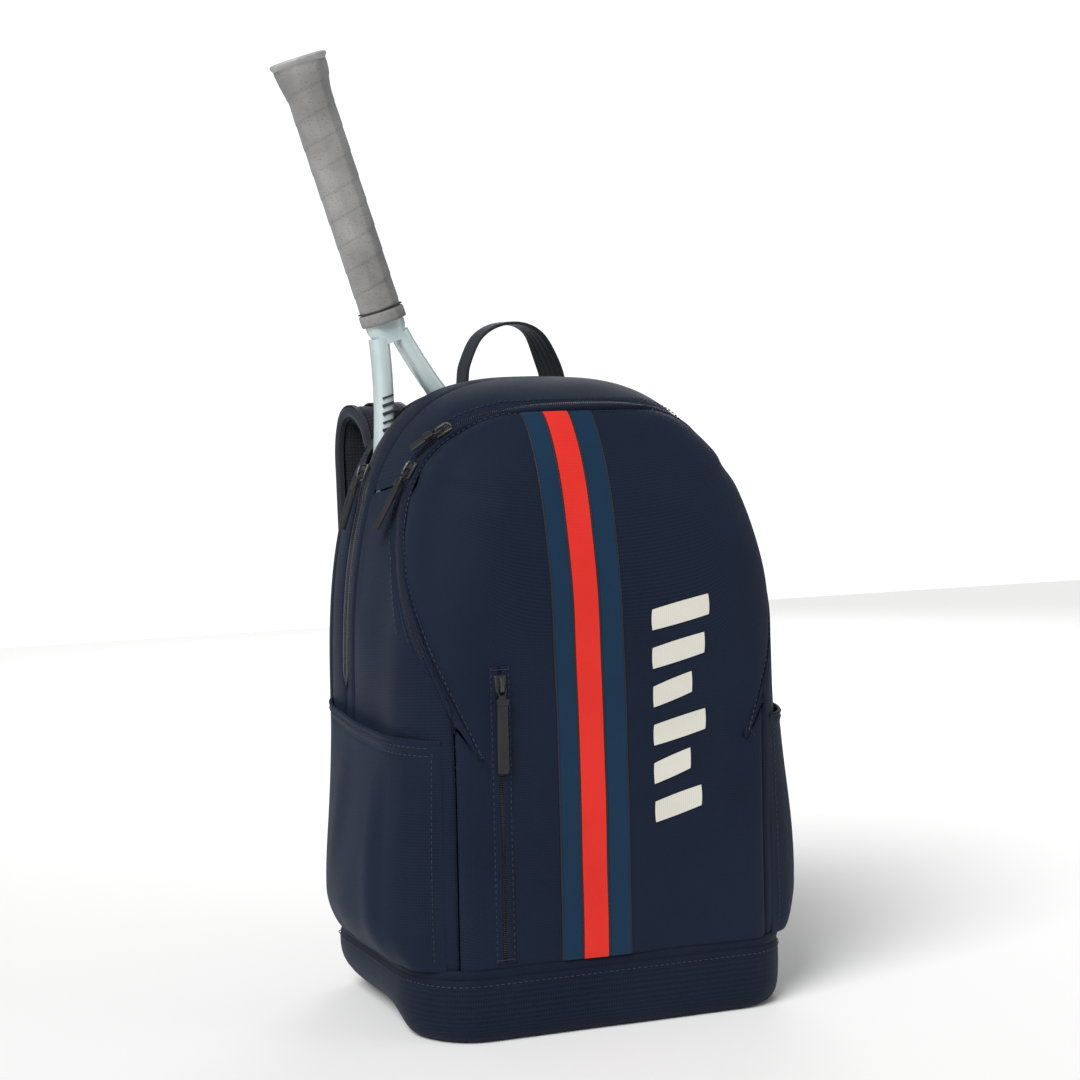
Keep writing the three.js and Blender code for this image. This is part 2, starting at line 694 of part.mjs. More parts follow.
function racketOutline(grow) {
  const shape = new THREE.Shape();
  const shoulder = 35 * Math.PI / 180;
  const [sx, sz] = onHead(shoulder, grow);
  const [wide, long] = [HEAD_HALF_WIDTH + grow, HEAD_HALF_LENGTH + grow];
  shape.absellipse(0, 0, wide, long, Math.PI - shoulder, 2 * Math.PI + shoulder);
  const shaft = SHAFT_HALF + grow;
  shape.bezierCurveTo(sx - 37, sz + 71, shaft + 18, GRIP_START - 78, shaft, GRIP_START);
  shape.lineTo(-SHAFT_HALF - grow, GRIP_START);
  shape.bezierCurveTo(-SHAFT_HALF - grow - 18, GRIP_START - 78, -sx + 37, sz + 71, -sx, sz);
  return shape;
}

function throatHole(grow) {
  const hole = new THREE.Path();
  const edge = 62 * Math.PI / 180;
  const [ex, ez] = onHead(edge, grow);
  const apex = GRIP_START - 12;
  hole.moveTo(ex - 2, ez + 1);
  hole.bezierCurveTo(40, 185, 19 - grow, 232, 3, apex);
  hole.lineTo(-3, apex);
  hole.bezierCurveTo(-19 + grow, 232, -40, 185, -ex + 2, ez + 1);
  hole.absellipse(0, 0, HEAD_HALF_WIDTH + grow, HEAD_HALF_LENGTH + grow, Math.PI - edge, edge, true);
  return hole;
}

function racketFrame() {
  const bevel = 4;
  const shape = racketOutline(0);
  const head = new THREE.Path();
  head.absellipse(0, 0, HEAD_HALF_WIDTH - BEAM_WIDTH, HEAD_HALF_LENGTH - BEAM_WIDTH, 0, 2 * Math.PI);
  shape.holes.push(head, throatHole(0));
  const basis = new THREE.Matrix4().makeBasis(X_AXIS, Z_AXIS, Y_AXIS.clone().negate());
  basis.setPosition(0, BEAM_DEPTH / 2 - bevel, 0);
  const settings = { bevelEnabled: true, bevelThickness: bevel, bevelSize: 3, bevelOffset: -3, bevelSegments: 1 };
  return extruded(shape, BEAM_DEPTH - 2 * bevel, basis, { curveSegments: 11, ...settings });
}

function stringBed() {
  const shape = new THREE.Shape();
  const inside = BEAM_WIDTH + GAP + 0.2;
  shape.absellipse(0, 0, HEAD_HALF_WIDTH - inside, HEAD_HALF_LENGTH - inside, 0, 2 * Math.PI);
  const basis = new THREE.Matrix4().makeBasis(X_AXIS, Z_AXIS, Y_AXIS.clone().negate()).setPosition(0, 1.3, 0);
  return extruded(shape, 2.6, basis, { curveSegments: 11 });
}

// A low guard over the tip of the head.
function bumperGuard() {
  const shape = new THREE.Shape();
  const [from, to] = [222, 318].map((d) => d * Math.PI / 180);
  shape.absellipse(0, 0, HEAD_HALF_WIDTH + 2.2, HEAD_HALF_LENGTH + 2.2, from, to);
  shape.absellipse(0, 0, HEAD_HALF_WIDTH + 0.5, HEAD_HALF_LENGTH + 0.5, to, from, true);
  const basis = new THREE.Matrix4().makeBasis(X_AXIS, Z_AXIS, Y_AXIS.clone().negate()).setPosition(0, 7, 0);
  return extruded(shape, 14, basis, { curveSegments: 12 });
}

// The handle's sleeves are eight-sided and a little deeper than they are wide.
function octagon(profile) {
  const points = profile.map(([r, z]) => new THREE.Vector2(r, z));
  const lathe = new THREE.LatheGeometry(points, 8);
  lathe.rotateX(Math.PI / 2);
  lathe.rotateZ(Math.PI / 8);
  lathe.scale(1, 0.92, 1);
  return solidOf(lathe);
}

const BUTT = RACKET_LENGTH - HEAD_HALF_LENGTH;
const CAP_LENGTH = 22;

function grip() {
  const [low, high] = [GRIP_START + GAP, BUTT - CAP_LENGTH - GAP];
  return octagon([[0, low], [16.8, low], [17.2, high - 60], [18.2, high], [0, high]]);
}

function buttCap() {
  const low = BUTT - CAP_LENGTH;
  return octagon([[0, low], [18.2, low], [21.5, BUTT - 5], [21.5, BUTT - 1.5], [20, BUTT], [0, BUTT]]);
}

// The rubber collar covers the end of the grip tape; it is bored out round the tape.
function gripCollar() {
  const [low, high] = [GRIP_START + GAP, GRIP_START + 14];
  const outside = octagon([[0, low], [19.3, low], [19, high], [0, high]]);
  const bore = octagon([[0, low - 1], [17.6, low - 1], [17.6, high + 1], [0, high + 1]]);
  return outside.subtract(bore);
}

// ---------------------------------------------------------------- assembly
const bag = new THREE.Group();

function add(name, solid, material) {
  bag.add(meshOf(solid, material, name));
}

add('boot', boot(), NAVY());
add('base_board', baseBoard(), FOAM());
add('front_panel', frontPanel(), NAVY());
add('front_pocket_lining', frontPocketLining(), BLACK_CLOTH());
add('top_gusset', topGusset(), NAVY());
add('racket_gusset_front', racketGussetFront(), NAVY_LIGHT());
add('racket_gusset_rear', racketGussetRear(), NAVY_LIGHT());
add('divider', divider(), BLACK_CLOTH());
add('back_panel', backPanel(), NAVY());
add('strap_yoke', strapYoke(), BLACK_CLOTH());

for (const [side, word] of [[-1, 'left'], [1, 'right']]) {
  add(`side_panel_${word}`, sidePanel(side), NAVY());
  add(`side_pocket_${word}`, sidePocket(side), NAVY());
  add(`back_pad_${word}`, backPad(side), BLACK_CLOTH());
  add(`shoulder_strap_${word}`, shoulderStrap(side), BLACK_CLOTH());
  add(`strap_tail_${word}`, strapTail(side), BLACK_CLOTH());
  add(`lower_web_${word}`, lowerWeb(side), BLACK_CLOTH());
  add(`anchor_wing_${word}`, anchorWing(side), NAVY());
  const buckle = meshOf(ladderBuckle(), BLACK_RUBBER(), `ladder_buckle_${word}`);
  buckle.position.copy(BUCKLE_PLACE(side));
  bag.add(buckle);
}

const haul = meshOf(haulLoop(), BLACK_CLOTH(), 'haul_loop');
haul.position.copy(HAUL_FOOT);
bag.add(haul);

add('stripe_red', skinBand(upright(-28, -8), 0.3, 0.9), RED_TAPE());
add('stripe_blue_left', skinBand(upright(-42, -28.6), 0.3, 0.7), BLUE_TAPE());
add('stripe_blue_right', skinBand(upright(-7.4, 8), 0.3, 0.7), BLUE_TAPE());
for (let i = 0; i < MARK_BARS; i += 1) {
  add(`mark_bar_${i + 1}`, markBar(i), CREAM_PRINT());
}

add('main_zip_tape', zipTape(MAIN_SEAM, MAIN_ZIP_FOOT), BLACK_CLOTH());
add('main_zip_chain', zipChain(MAIN_SEAM, MAIN_ZIP_FOOT), BLACK_RUBBER());
const racketTapes = outsideMouth(zipTape(RACKET_SEAM, RACKET_ZIP_FOOT));
add('racket_zip_tape_right', racketTapes[0], BLACK_CLOTH());
add('racket_zip_tape_left', racketTapes[1], BLACK_CLOTH());
const racketChains = outsideMouth(zipChain(RACKET_SEAM, RACKET_ZIP_FOOT));
add('racket_zip_chain_right', racketChains[0], BLACK_RUBBER());
add('racket_zip_chain_left', racketChains[1], BLACK_RUBBER());

const pocketTape = pocketZipSlot(SEAM_CUT - 1 - GAP, POCKET_ZIP_LOW + GAP, POCKET_ZIP_HIGH - GAP);
add('pocket_zip_tape', TAPE_SHELL.intersect(pocketTape), BLACK_CLOTH());
const pocketChain = pocketZipSlot(CHAIN_HALF, POCKET_ZIP_LOW + 2, POCKET_ZIP_HIGH - 4);
add('pocket_zip_chain', CHAIN_SHELL.intersect(pocketChain), BLACK_RUBBER());

const upperMain = onSeam(MAIN_SEAM, 410, -1);
const lowerMain = onSeam(MAIN_SEAM, 384, -1);
const racketSlide = onSeam(RACKET_SEAM, 380, -1);
const pocketTop = new THREE.Vector3(POCKET_ZIP_X, FRONT_Y, POCKET_ZIP_HIGH - 12);
bag.add(sliderSet('main_upper', upperMain.place, upperMain.turn, 26));
bag.add(sliderSet('main_lower', lowerMain.place, lowerMain.turn, 46));
bag.add(sliderSet('racket_zip', racketSlide.place, racketSlide.turn, 46));
bag.add(sliderSet('pocket_zip', pocketTop, new THREE.Matrix4(), 58));

const racket = new THREE.Group();
racket.position.copy(RACKET_PLACE);
racket.rotation.y = -RACKET_TILT;
racket.add(meshOf(racketFrame(), FRAME_PAINT(), 'racket_frame'));
racket.add(meshOf(stringBed(), STRING_GUT(), 'string_bed'));
racket.add(meshOf(bumperGuard(), BLACK_RUBBER(), 'bumper_guard'));
racket.add(meshOf(grip(), GRIP_TAPE(), 'grip'));
racket.add(meshOf(gripCollar(), GRIP_TAPE(), 'grip_collar'));
racket.add(meshOf(buttCap(), GRIP_TAPE(), 'butt_cap'));
bag.add(racket);

export default bag;
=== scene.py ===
"""Looks of the racket backpack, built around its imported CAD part.

Metres. +Z is up, -Y is the front of the bag, +Y is the wearer's back.
"""
import json
import math

import bpy
import numpy as np
from mathutils import Matrix, Vector


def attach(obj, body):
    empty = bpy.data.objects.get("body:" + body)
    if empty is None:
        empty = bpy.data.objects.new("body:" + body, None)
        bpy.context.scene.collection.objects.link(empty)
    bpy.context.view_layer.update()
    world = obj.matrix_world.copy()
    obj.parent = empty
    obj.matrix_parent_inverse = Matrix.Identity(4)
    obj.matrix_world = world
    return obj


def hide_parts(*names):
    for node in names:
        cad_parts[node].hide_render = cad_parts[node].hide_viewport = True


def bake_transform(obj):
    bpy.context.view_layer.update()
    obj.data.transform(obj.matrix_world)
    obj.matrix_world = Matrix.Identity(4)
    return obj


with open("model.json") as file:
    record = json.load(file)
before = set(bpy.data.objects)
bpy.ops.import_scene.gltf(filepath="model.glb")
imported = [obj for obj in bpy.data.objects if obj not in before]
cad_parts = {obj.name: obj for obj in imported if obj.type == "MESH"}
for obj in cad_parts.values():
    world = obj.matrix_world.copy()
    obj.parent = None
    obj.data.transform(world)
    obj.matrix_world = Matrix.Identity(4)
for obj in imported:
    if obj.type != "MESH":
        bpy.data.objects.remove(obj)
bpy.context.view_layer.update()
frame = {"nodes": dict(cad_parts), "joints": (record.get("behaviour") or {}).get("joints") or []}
nodes = frame["nodes"]
mm = 0.001

# ---------------------------------------------------------------- camera, lights, floor
scene = bpy.context.scene
scene.view_settings.view_transform = "Standard"

CAMERA_AZIMUTH = math.radians(-21.88)
CAMERA_RISE = math.radians(4.16)
CAMERA_ROLL = math.radians(-1.27)
CAMERA_DISTANCE = 1.7635
CAMERA_TARGET = Vector((-0.0098, 0.0, 0.3304))
CAMERA_LENS = 82.1


def add_camera():
    """The camera stands in front of the bag, a little to its left and above."""
    away = Vector((
        math.sin(CAMERA_AZIMUTH) * math.cos(CAMERA_RISE),
        -math.cos(CAMERA_AZIMUTH) * math.cos(CAMERA_RISE),
        math.sin(CAMERA_RISE),
    ))
    right = Vector((math.cos(CAMERA_AZIMUTH), math.sin(CAMERA_AZIMUTH), 0.0))
    up = away.cross(right)
    turned_right = right * math.cos(CAMERA_ROLL) + up * math.sin(CAMERA_ROLL)
    turned_up = up * math.cos(CAMERA_ROLL) - right * math.sin(CAMERA_ROLL)
    bpy.ops.object.camera_add()
    camera = bpy.context.object
    camera.name = "camera"
    camera.data.lens = CAMERA_LENS
    camera.data.sensor_width = 36.0
    place = Matrix((turned_right, turned_up, away)).transposed().to_4x4()
    place.translation = CAMERA_TARGET + away * CAMERA_DISTANCE
    camera.matrix_world = place
    scene.camera = camera


def add_area_light(name, place, aim, size, power, colour=(1.0, 1.0, 1.0)):
    bpy.ops.object.light_add(type="AREA", location=place)
    light = bpy.context.object
    light.name = name
    light.data.shape = "DISK"
    light.data.size = size
    light.data.energy = power
    light.data.color = colour
    light.rotation_euler = (Vector(place) - Vector(aim)).to_track_quat("Z", "Y").to_euler()


def add_soft_sun(name, towards, strength, spread):
    """A broad even light from one side, like a large window."""
    bpy.ops.object.light_add(type="SUN", location=towards)
    light = bpy.context.object
    light.name = name
    light.data.energy = strength
    light.data.angle = math.radians(spread)
    light.rotation_euler = Vector(towards).to_track_quat("Z", "Y").to_euler()


ROOM_LIGHT = 0.30
ROOM_WHITE = 1.1


def add_studio():
    middle = (0.0, 0.0, 0.28)
    add_soft_sun("key_light", (-1.3, -1.05, 1.55), 2.9, 34.0)
    add_area_light("fill_light", (1.9, -1.7, 1.0), middle, 1.4, 7.0, (0.95, 0.97, 1.0))
    add_area_light("rim_light", (1.0, 1.9, 1.3), middle, 1.2, 14.0)
    world = bpy.data.worlds.new("studio")
    scene.world = world
    world.use_nodes = True
    tree = world.node_tree
    background = tree.nodes["Background"]
    background.inputs["Color"].default_value = (1.0, 1.0, 1.0, 1.0)
    seen = tree.nodes.new("ShaderNodeLightPath")
    level = tree.nodes.new("ShaderNodeMapRange")
    level.inputs["To Min"].default_value = ROOM_LIGHT
    level.inputs["To Max"].default_value = ROOM_WHITE
    tree.links.new(seen.outputs["Is Camera Ray"], level.inputs["Value"])
    tree.links.new(level.outputs["Result"], background.inputs["Strength"])


def add_floor():
    bpy.ops.mesh.primitive_plane_add(size=5.0)
    floor = bpy.context.object
    floor.name = "floor"
    material = bpy.data.materials.new("floor_paper")
    material.use_nodes = True
    shader = material.node_tree.nodes["Principled BSDF"]
    shader.inputs["Base Color"].default_value = (0.93, 0.93, 0.925, 1.0)
    shader.inputs["Roughness"].default_value = 0.9
    shader.inputs["Specular IOR Level"].default_value = 0.2
    floor.data.materials.append(material)


add_camera()
add_studio()
add_floor()


# ---------------------------------------------------------------- materials
class Finish:
    """A node material: helpers add and join its nodes."""

    def __init__(self, name, roughness=0.7, metallic=0.0, sheen=0.0, specular=0.5, coat=0.0):
        self.material = bpy.data.materials.new(name)
        self.material.use_nodes = True
        self.tree = self.material.node_tree
        self.shader = self.tree.nodes["Principled BSDF"]
        self.shader.inputs["Roughness"].default_value = roughness
        self.shader.inputs["Metallic"].default_value = metallic
        self.shader.inputs["Specular IOR Level"].default_value = specular
        self.shader.inputs["Sheen Weight"].default_value = sheen
        self.shader.inputs["Sheen Roughness"].default_value = 0.5
        self.shader.inputs["Sheen Tint"].default_value = (0.45, 0.55, 0.75, 1.0)
        self.shader.inputs["Coat Weight"].default_value = coat

    def node(self, kind, **settings):
        node = self.tree.nodes.new(kind)
        for key, value in settings.items():
            setattr(node, key, value)
        return node

    def join(self, output, socket):
        self.tree.links.new(output, socket)

    def coordinates(self, use_uv, stretch=(1.0, 1.0, 1.0), turn=0.0):
        source = self.node("ShaderNodeTexCoord").outputs["UV" if use_uv else "Object"]
        mapping = self.node("ShaderNodeMapping")
        mapping.inputs["Scale"].default_value = stretch
        mapping.inputs["Rotation"].default_value = (0.0, 0.0, turn)
        self.join(source, mapping.inputs["Vector"])
        return mapping.outputs["Vector"]

    def noise(self, vector, scale, detail=2.0):
        texture = self.node("ShaderNodeTexNoise")
        texture.inputs["Scale"].default_value = scale
        texture.inputs["Detail"].default_value = detail
        self.join(vector, texture.inputs["Vector"])
        return texture.outputs["Fac"]

    def wave(self, vector, scale, direction):
        texture = self.node("ShaderNodeTexWave", bands_direction=direction)
        texture.inputs["Scale"].default_value = scale
        self.join(vector, texture.inputs["Vector"])
        return texture.outputs["Fac"]

    def math(self, operation, first, second):
        node = self.node("ShaderNodeMath", operation=operation)
        for socket, value in zip(node.inputs, (first, second)):
            if isinstance(value, (int, float)):
                socket.default_value = value
            else:
                self.join(value, socket)
        return node.outputs[0]

    def ramp(self, factor, *stops):
        node = self.node("ShaderNodeValToRGB")
        elements = node.color_ramp.elements
        while len(elements) < len(stops):
            elements.new(0.5)
        for element, (place, colour) in zip(elements, stops):
            element.position = place
            element.color = (*colour, 1.0)
        self.join(factor, node.inputs["Fac"])
        return node.outputs["Color"]

    def mix(self, factor, first, second, blend="MIX"):
        node = self.node("ShaderNodeMix", data_type="RGBA", blend_type=blend)
        for socket, value in ((node.inputs[0], factor), (node.inputs[6], first), (node.inputs[7], second)):
            if isinstance(value, (int, float)):
                socket.default_value = value
            elif isinstance(value, tuple):
                socket.default_value = (*value, 1.0)
            else:
                self.join(value, socket)
        return node.outputs[2]

    def colour(self, output):
        self.join(output, self.shader.inputs["Base Color"])

    def rough(self, factor, low, high):
        span = self.node("ShaderNodeMapRange")
        span.inputs["To Min"].default_value = low
        span.inputs["To Max"].default_value = high
        self.join(factor, span.inputs["Value"])
        self.join(span.outputs["Result"], self.shader.inputs["Roughness"])

    def bump(self, *layers):
        """Each layer is a height output, its depth in metres and its strength."""
        before = None
        for height, depth, strength in layers:
            node = self.node("ShaderNodeBump")
            node.inputs["Distance"].default_value = depth
            node.inputs["Strength"].default_value = strength
            self.join(height, node.inputs["Height"])
            if before is not None:
                self.join(before, node.inputs["Normal"])
            before = node.outputs["Normal"]
        self.join(before, self.shader.inputs["Normal"])


def weave_height(finish, vector, pitch):
    """Two crossed families of threads, over and under; pitch is one thread in metres."""
    scale = 1.0 / (pitch * 20.0 / math.pi * 1.0)
    warp = finish.wave(vector, scale, "X")
    weft = finish.wave(vector, scale, "Y")
    return finish.math("MAXIMUM", warp, weft)


def cloth_finish(name, dark, light, pitch=0.9 * mm, sheen=0.06, roughness=0.66, speckle=0.5, grain=4.0):
    """Woven cloth: threads, a fine speckle of brighter yarns and slow changes of shade."""
    finish = Finish(name, roughness, sheen=sheen, specular=0.09)
    sewn = finish.coordinates(True)
    whole = finish.coordinates(False)
    weave = weave_height(finish, sewn, pitch)
    streaks = finish.noise(finish.coordinates(True, (1.0, 7.0, 1.0)), 210.0, 3.0)
    shade = finish.noise(whole, 9.0, 3.0)
    yarn = finish.mix(speckle, weave, streaks)
    mixed = finish.math("ADD", finish.math("MULTIPLY", yarn, 0.75), finish.math("MULTIPLY", shade, 0.35))
    finish.colour(finish.ramp(mixed, (0.28, dark), (0.78, light)))
    finish.rough(streaks, roughness - 0.1, roughness + 0.12)
    creases = finish.noise(whole, 26.0, grain)
    finish.bump((creases, 2.2 * mm, 0.16), (weave, 0.22 * mm, 0.55))
    return finish.material


def mesh_cloth_finish(name, dark, light, hole=2.6 * mm):
    """Air mesh: a lattice of small holes in a soft knit."""
    finish = Finish(name, 0.85, sheen=0.4, specular=0.25)
    sewn = finish.coordinates(True)
    cells = finish.node("ShaderNodeTexVoronoi", feature="F1")
    cells.inputs["Scale"].default_value = 1.0 / hole
    cells.inputs["Randomness"].default_value = 0.12
    finish.join(sewn, cells.inputs["Vector"])
    shade = finish.noise(finish.coordinates(False), 14.0, 2.0)
    holes = finish.math("MULTIPLY", cells.outputs["Distance"], 1.1)
    near = finish.math("ADD", holes, finish.math("MULTIPLY", shade, 0.2))
    finish.colour(finish.ramp(near, (0.25, dark), (0.75, light)))
    finish.rough(shade, 0.78, 0.95)
    finish.bump((cells.outputs["Distance"], 0.9 * mm, 0.8))
    return finish.material


def webbing_finish(name, dark, light, rib=1.6 * mm):
    """Woven webbing: ribs across its length and a herringbone of fine yarns."""
    finish = Finish(name, 0.6, sheen=0.2, specular=0.4)
    sewn = finish.coordinates(True)
    ribs = finish.wave(sewn, math.pi / (20.0 * rib), "X")
    twill = finish.wave(finish.coordinates(True, turn=math.radians(38.0)), math.pi / (20.0 * 0.8 * mm), "X")
    height = finish.math("ADD", finish.math("MULTIPLY", ribs, 0.6), finish.math("MULTIPLY", twill, 0.4))
    finish.colour(finish.ramp(height, (0.2, dark), (0.85, light)))
    finish.rough(finish.noise(sewn, 300.0), 0.5, 0.75)
    finish.bump((height, 0.35 * mm, 0.8))
    return finish.material


def moulded_finish(name, dark, light, roughness=0.42, grain=900.0, metallic=0.0, coat=0.0, worn=0.0):
    """Moulded plastic, rubber or painted metal with fine grain, and lighter worn edges."""
    finish = Finish(name, roughness, metallic=metallic, specular=0.5, coat=coat)
    whole = finish.coordinates(False)
    fine = finish.noise(whole, grain, 2.0)
    slow = finish.noise(whole, 38.0, 3.0)
    base = finish.ramp(slow, (0.3, dark), (0.75, light))
    if worn > 0.0:
        pointed = finish.node("ShaderNodeNewGeometry").outputs["Pointiness"]
        edge = finish.ramp(pointed, (0.5, (0.0,) * 3), (0.62, (worn,) * 3))
        pale = tuple(min(1.0, c * 3.0 + 0.08) for c in light)
        base = finish.mix(edge, base, pale)
    finish.colour(base)
    finish.rough(slow, roughness - 0.08, roughness + 0.1)
    finish.bump((fine, 0.08 * mm, 0.35))
    return finish.material


def stripe_finish(name, dark, light):
    """Smooth printed tape with a faint weave through it."""
    finish = Finish(name, 0.55, sheen=0.03, specular=0.14)
    sewn = finish.coordinates(True)
    weave = weave_height(finish, sewn, 0.8 * mm)
    shade = finish.noise(finish.coordinates(False), 22.0, 2.0)
    mixed = finish.math("ADD", finish.math("MULTIPLY", weave, 0.45), finish.math("MULTIPLY", shade, 0.5))
    finish.colour(finish.ramp(mixed, (0.2, dark), (0.75, light)))
    finish.rough(shade, 0.45, 0.68)
    finish.bump((weave, 0.12 * mm, 0.4))
    return finish.material


def grip_finish(name):
    """Cushioned grip tape: pores in slanting rows and greyer patches from the hand."""
    finish = Finish(name, 0.78, sheen=0.15, specular=0.3)
    sewn = finish.coordinates(True)
    pores = finish.node("ShaderNodeTexVoronoi", feature="F1")
    pores.inputs["Scale"].default_value = 420.0
    pores.inputs["Randomness"].default_value = 0.5
    finish.join(sewn, pores.inputs["Vector"])
    patch = finish.noise(finish.coordinates(False), 34.0, 4.0)
    base = finish.ramp(patch, (0.3, (0.22, 0.215, 0.21)), (0.7, (0.34, 0.335, 0.33)))
    dots = finish.ramp(pores.outputs["Distance"], (0.05, (0.55, 0.55, 0.55)), (0.28, (1.0, 1.0, 1.0)))
    finish.colour(finish.mix(1.0, base, dots, "MULTIPLY"))
    finish.rough(patch, 0.68, 0.9)
    finish.bump((pores.outputs["Distance"], 0.3 * mm, 0.5))
    return finish.material


MATERIALS = {
    "navy_cloth": cloth_finish("navy_cloth", (0.0020, 0.0040, 0.0106), (0.0101, 0.0168, 0.0359)),
    "boot_cloth": cloth_finish("boot_cloth", (0.0020, 0.0037, 0.0096), (0.0094, 0.0148, 0.0304), sheen=0.05),
    "navy_gusset": cloth_finish("navy_gusset", (0.0020, 0.0038, 0.0102), (0.0098, 0.0160, 0.0343)),
    "base_board": moulded_finish("base_board", (0.018, 0.019, 0.021), (0.03, 0.031, 0.034), 0.8),
    "black_mesh": mesh_cloth_finish("black_mesh", (0.002, 0.0025, 0.0035), (0.012, 0.0135, 0.018)),
    "black_webbing": webbing_finish("black_webbing", (0.003, 0.0036, 0.005), (0.012, 0.0138, 0.018)),
    "black_tape": webbing_finish("black_tape", (0.003, 0.0042, 0.007), (0.0105, 0.0145, 0.023), 0.9 * mm),
    "zip_coil": moulded_finish("zip_coil", (0.006, 0.006, 0.008), (0.015, 0.016, 0.019), 0.38),
    "slider_metal": moulded_finish(
        "slider_metal", (0.0048, 0.0048, 0.0060), (0.0120, 0.0126, 0.0144), 0.42, coat=0.15, worn=0.35,
    ),
    "pull_rubber": moulded_finish("pull_rubber", (0.0042, 0.0045, 0.0054), (0.0098, 0.0105, 0.0126), 0.55),
    "buckle_plastic": moulded_finish(
        "buckle_plastic", (0.008, 0.0085, 0.01), (0.018, 0.019, 0.022), 0.4, worn=0.3,
    ),
    "red_tape": stripe_finish("red_tape", (0.58, 0.020, 0.014), (0.74, 0.032, 0.023)),
    "blue_tape": stripe_finish("blue_tape", (0.004, 0.020, 0.046), (0.007, 0.031, 0.070)),
    "cream_print": stripe_finish("cream_print", (0.58, 0.56, 0.49), (0.70, 0.68, 0.61)),
    "racket_paint": moulded_finish(
        "racket_paint", (0.52, 0.63, 0.64), (0.62, 0.71, 0.72), 0.25, 300.0, coat=0.6,
    ),
    "string_nylon": moulded_finish("string_nylon", (0.62, 0.60, 0.47), (0.78, 0.76, 0.62), 0.3, coat=0.3),
    "bumper_plastic": moulded_finish(
        "bumper_plastic", (0.012, 0.012, 0.014), (0.025, 0.025, 0.028), 0.5, worn=0.4,
    ),
    "grip_wrap": grip_finish("grip_wrap"),
    "butt_plastic": moulded_finish("butt_plastic", (0.30, 0.30, 0.30), (0.42, 0.42, 0.415), 0.45, worn=0.2),
    "thread": moulded_finish("thread", (0.006, 0.010, 0.022), (0.020, 0.028, 0.052), 0.6),
}


# ---------------------------------------------------------------- making pieces
def only(piece):
    """The piece alone is selected and active."""
    bpy.ops.object.select_all(action="DESELECT")
    piece.select_set(True)
    bpy.context.view_layer.objects.active = piece


def edit_all(piece, *steps):
    """Runs edit-mode steps with the whole mesh selected before each."""
    only(piece)
    bpy.ops.object.mode_set(mode="EDIT")
    for step in steps:
        bpy.ops.mesh.select_all(action="SELECT")
        step()
    bpy.ops.object.mode_set(mode="OBJECT")


def weld(distance=0.00001):
    return lambda: bpy.ops.mesh.remove_doubles(threshold=distance)


def turn_over():
    bpy.ops.mesh.flip_normals()


def finish_with(piece, kind, **settings):
    """Adds a modifier with these settings and applies it."""
    only(piece)
    modifier = piece.modifiers.new(kind.lower(), kind)
    for key, value in settings.items():
        setattr(modifier, key, value)
    bpy.ops.object.modifier_apply(modifier=modifier.name)


def subdivide(piece, levels=1):
    finish_with(piece, "SUBSURF", levels=levels, render_levels=levels)


def solidify(piece, thickness, offset=-1.0):
    finish_with(piece, "SOLIDIFY", thickness=thickness, offset=offset, use_even_offset=False)


def smooth(piece, angle=50.0):
    only(piece)
    bpy.ops.object.shade_smooth_by_angle(angle=math.radians(angle))


def dress(piece, finish, body, *replaced, angle=50.0):
    """Gives the piece its material, its body and the CAD nodes it stands for."""
    piece.data.materials.clear()
    piece.data.materials.append(MATERIALS[finish])
    smooth(piece, angle)
    if body is not None:
        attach(piece, body)
    if replaced:
        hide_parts(*replaced)
    return piece


def lay_cloth(name, columns, rows, place, size=None):
    """A cut of cloth, columns by rows squares, laid so that corner (u, v) is at place(u, v).

    Its UV map is in metres along the cloth, so that a weave has its real size.
    """
    bpy.ops.object.select_all(action="DESELECT")
    bpy.ops.mesh.primitive_grid_add(x_subdivisions=columns, y_subdivisions=rows, size=2.0)
    piece = bpy.context.object
    piece.name = name
    mesh = piece.data
    flat = np.zeros(len(mesh.vertices) * 3)
    mesh.vertices.foreach_get("co", flat)
    flat = flat.reshape(-1, 3)
    spots = np.array([place((a + 1.0) / 2.0, (b + 1.0) / 2.0) for a, b, _ in flat])
    mesh.vertices.foreach_set("co", spots.ravel())
    if size is None:
        size = cloth_size(flat, spots)
    uv = mesh.uv_layers.active.data
    values = np.zeros(len(uv) * 2)
    uv.foreach_get("uv", values)
    values = values.reshape(-1, 2) * np.array(size)
    uv.foreach_set("uv", values.ravel())
    mesh.update()
    return piece


def unroll(piece, flat):
    """Gives each point of the cloth its own place in the UV map, in metres."""
    mesh = piece.data
    owners = np.zeros(len(mesh.loops), int)
    mesh.loops.foreach_get("vertex_index", owners)
    mesh.uv_layers.active.data.foreach_set("uv", np.array(flat)[owners].ravel())


def cloth_size(flat, spots):
    """The length of the cloth along its middle column and row."""
    lengths = []
    for axis in (0, 1):
        other = flat[:, 1 - axis]
        middle = other[np.argmin(np.abs(other))]
        line = np.flatnonzero(np.abs(other - middle) < 1e-5)
        line = line[np.argsort(flat[line, axis])]
        lengths.append(np.linalg.norm(np.diff(spots[line], axis=0), axis=1).sum())
    return lengths


def faces_away_from(piece, inside):
    """Turns an open cloth over if its faces look towards a point instead of away from it."""
    mesh = piece.data
    look = sum((p.normal.dot(p.center - Vector(inside)) * p.area for p in mesh.polygons), 0.0)
    if look < 0.0:
        edit_all(piece, turn_over)


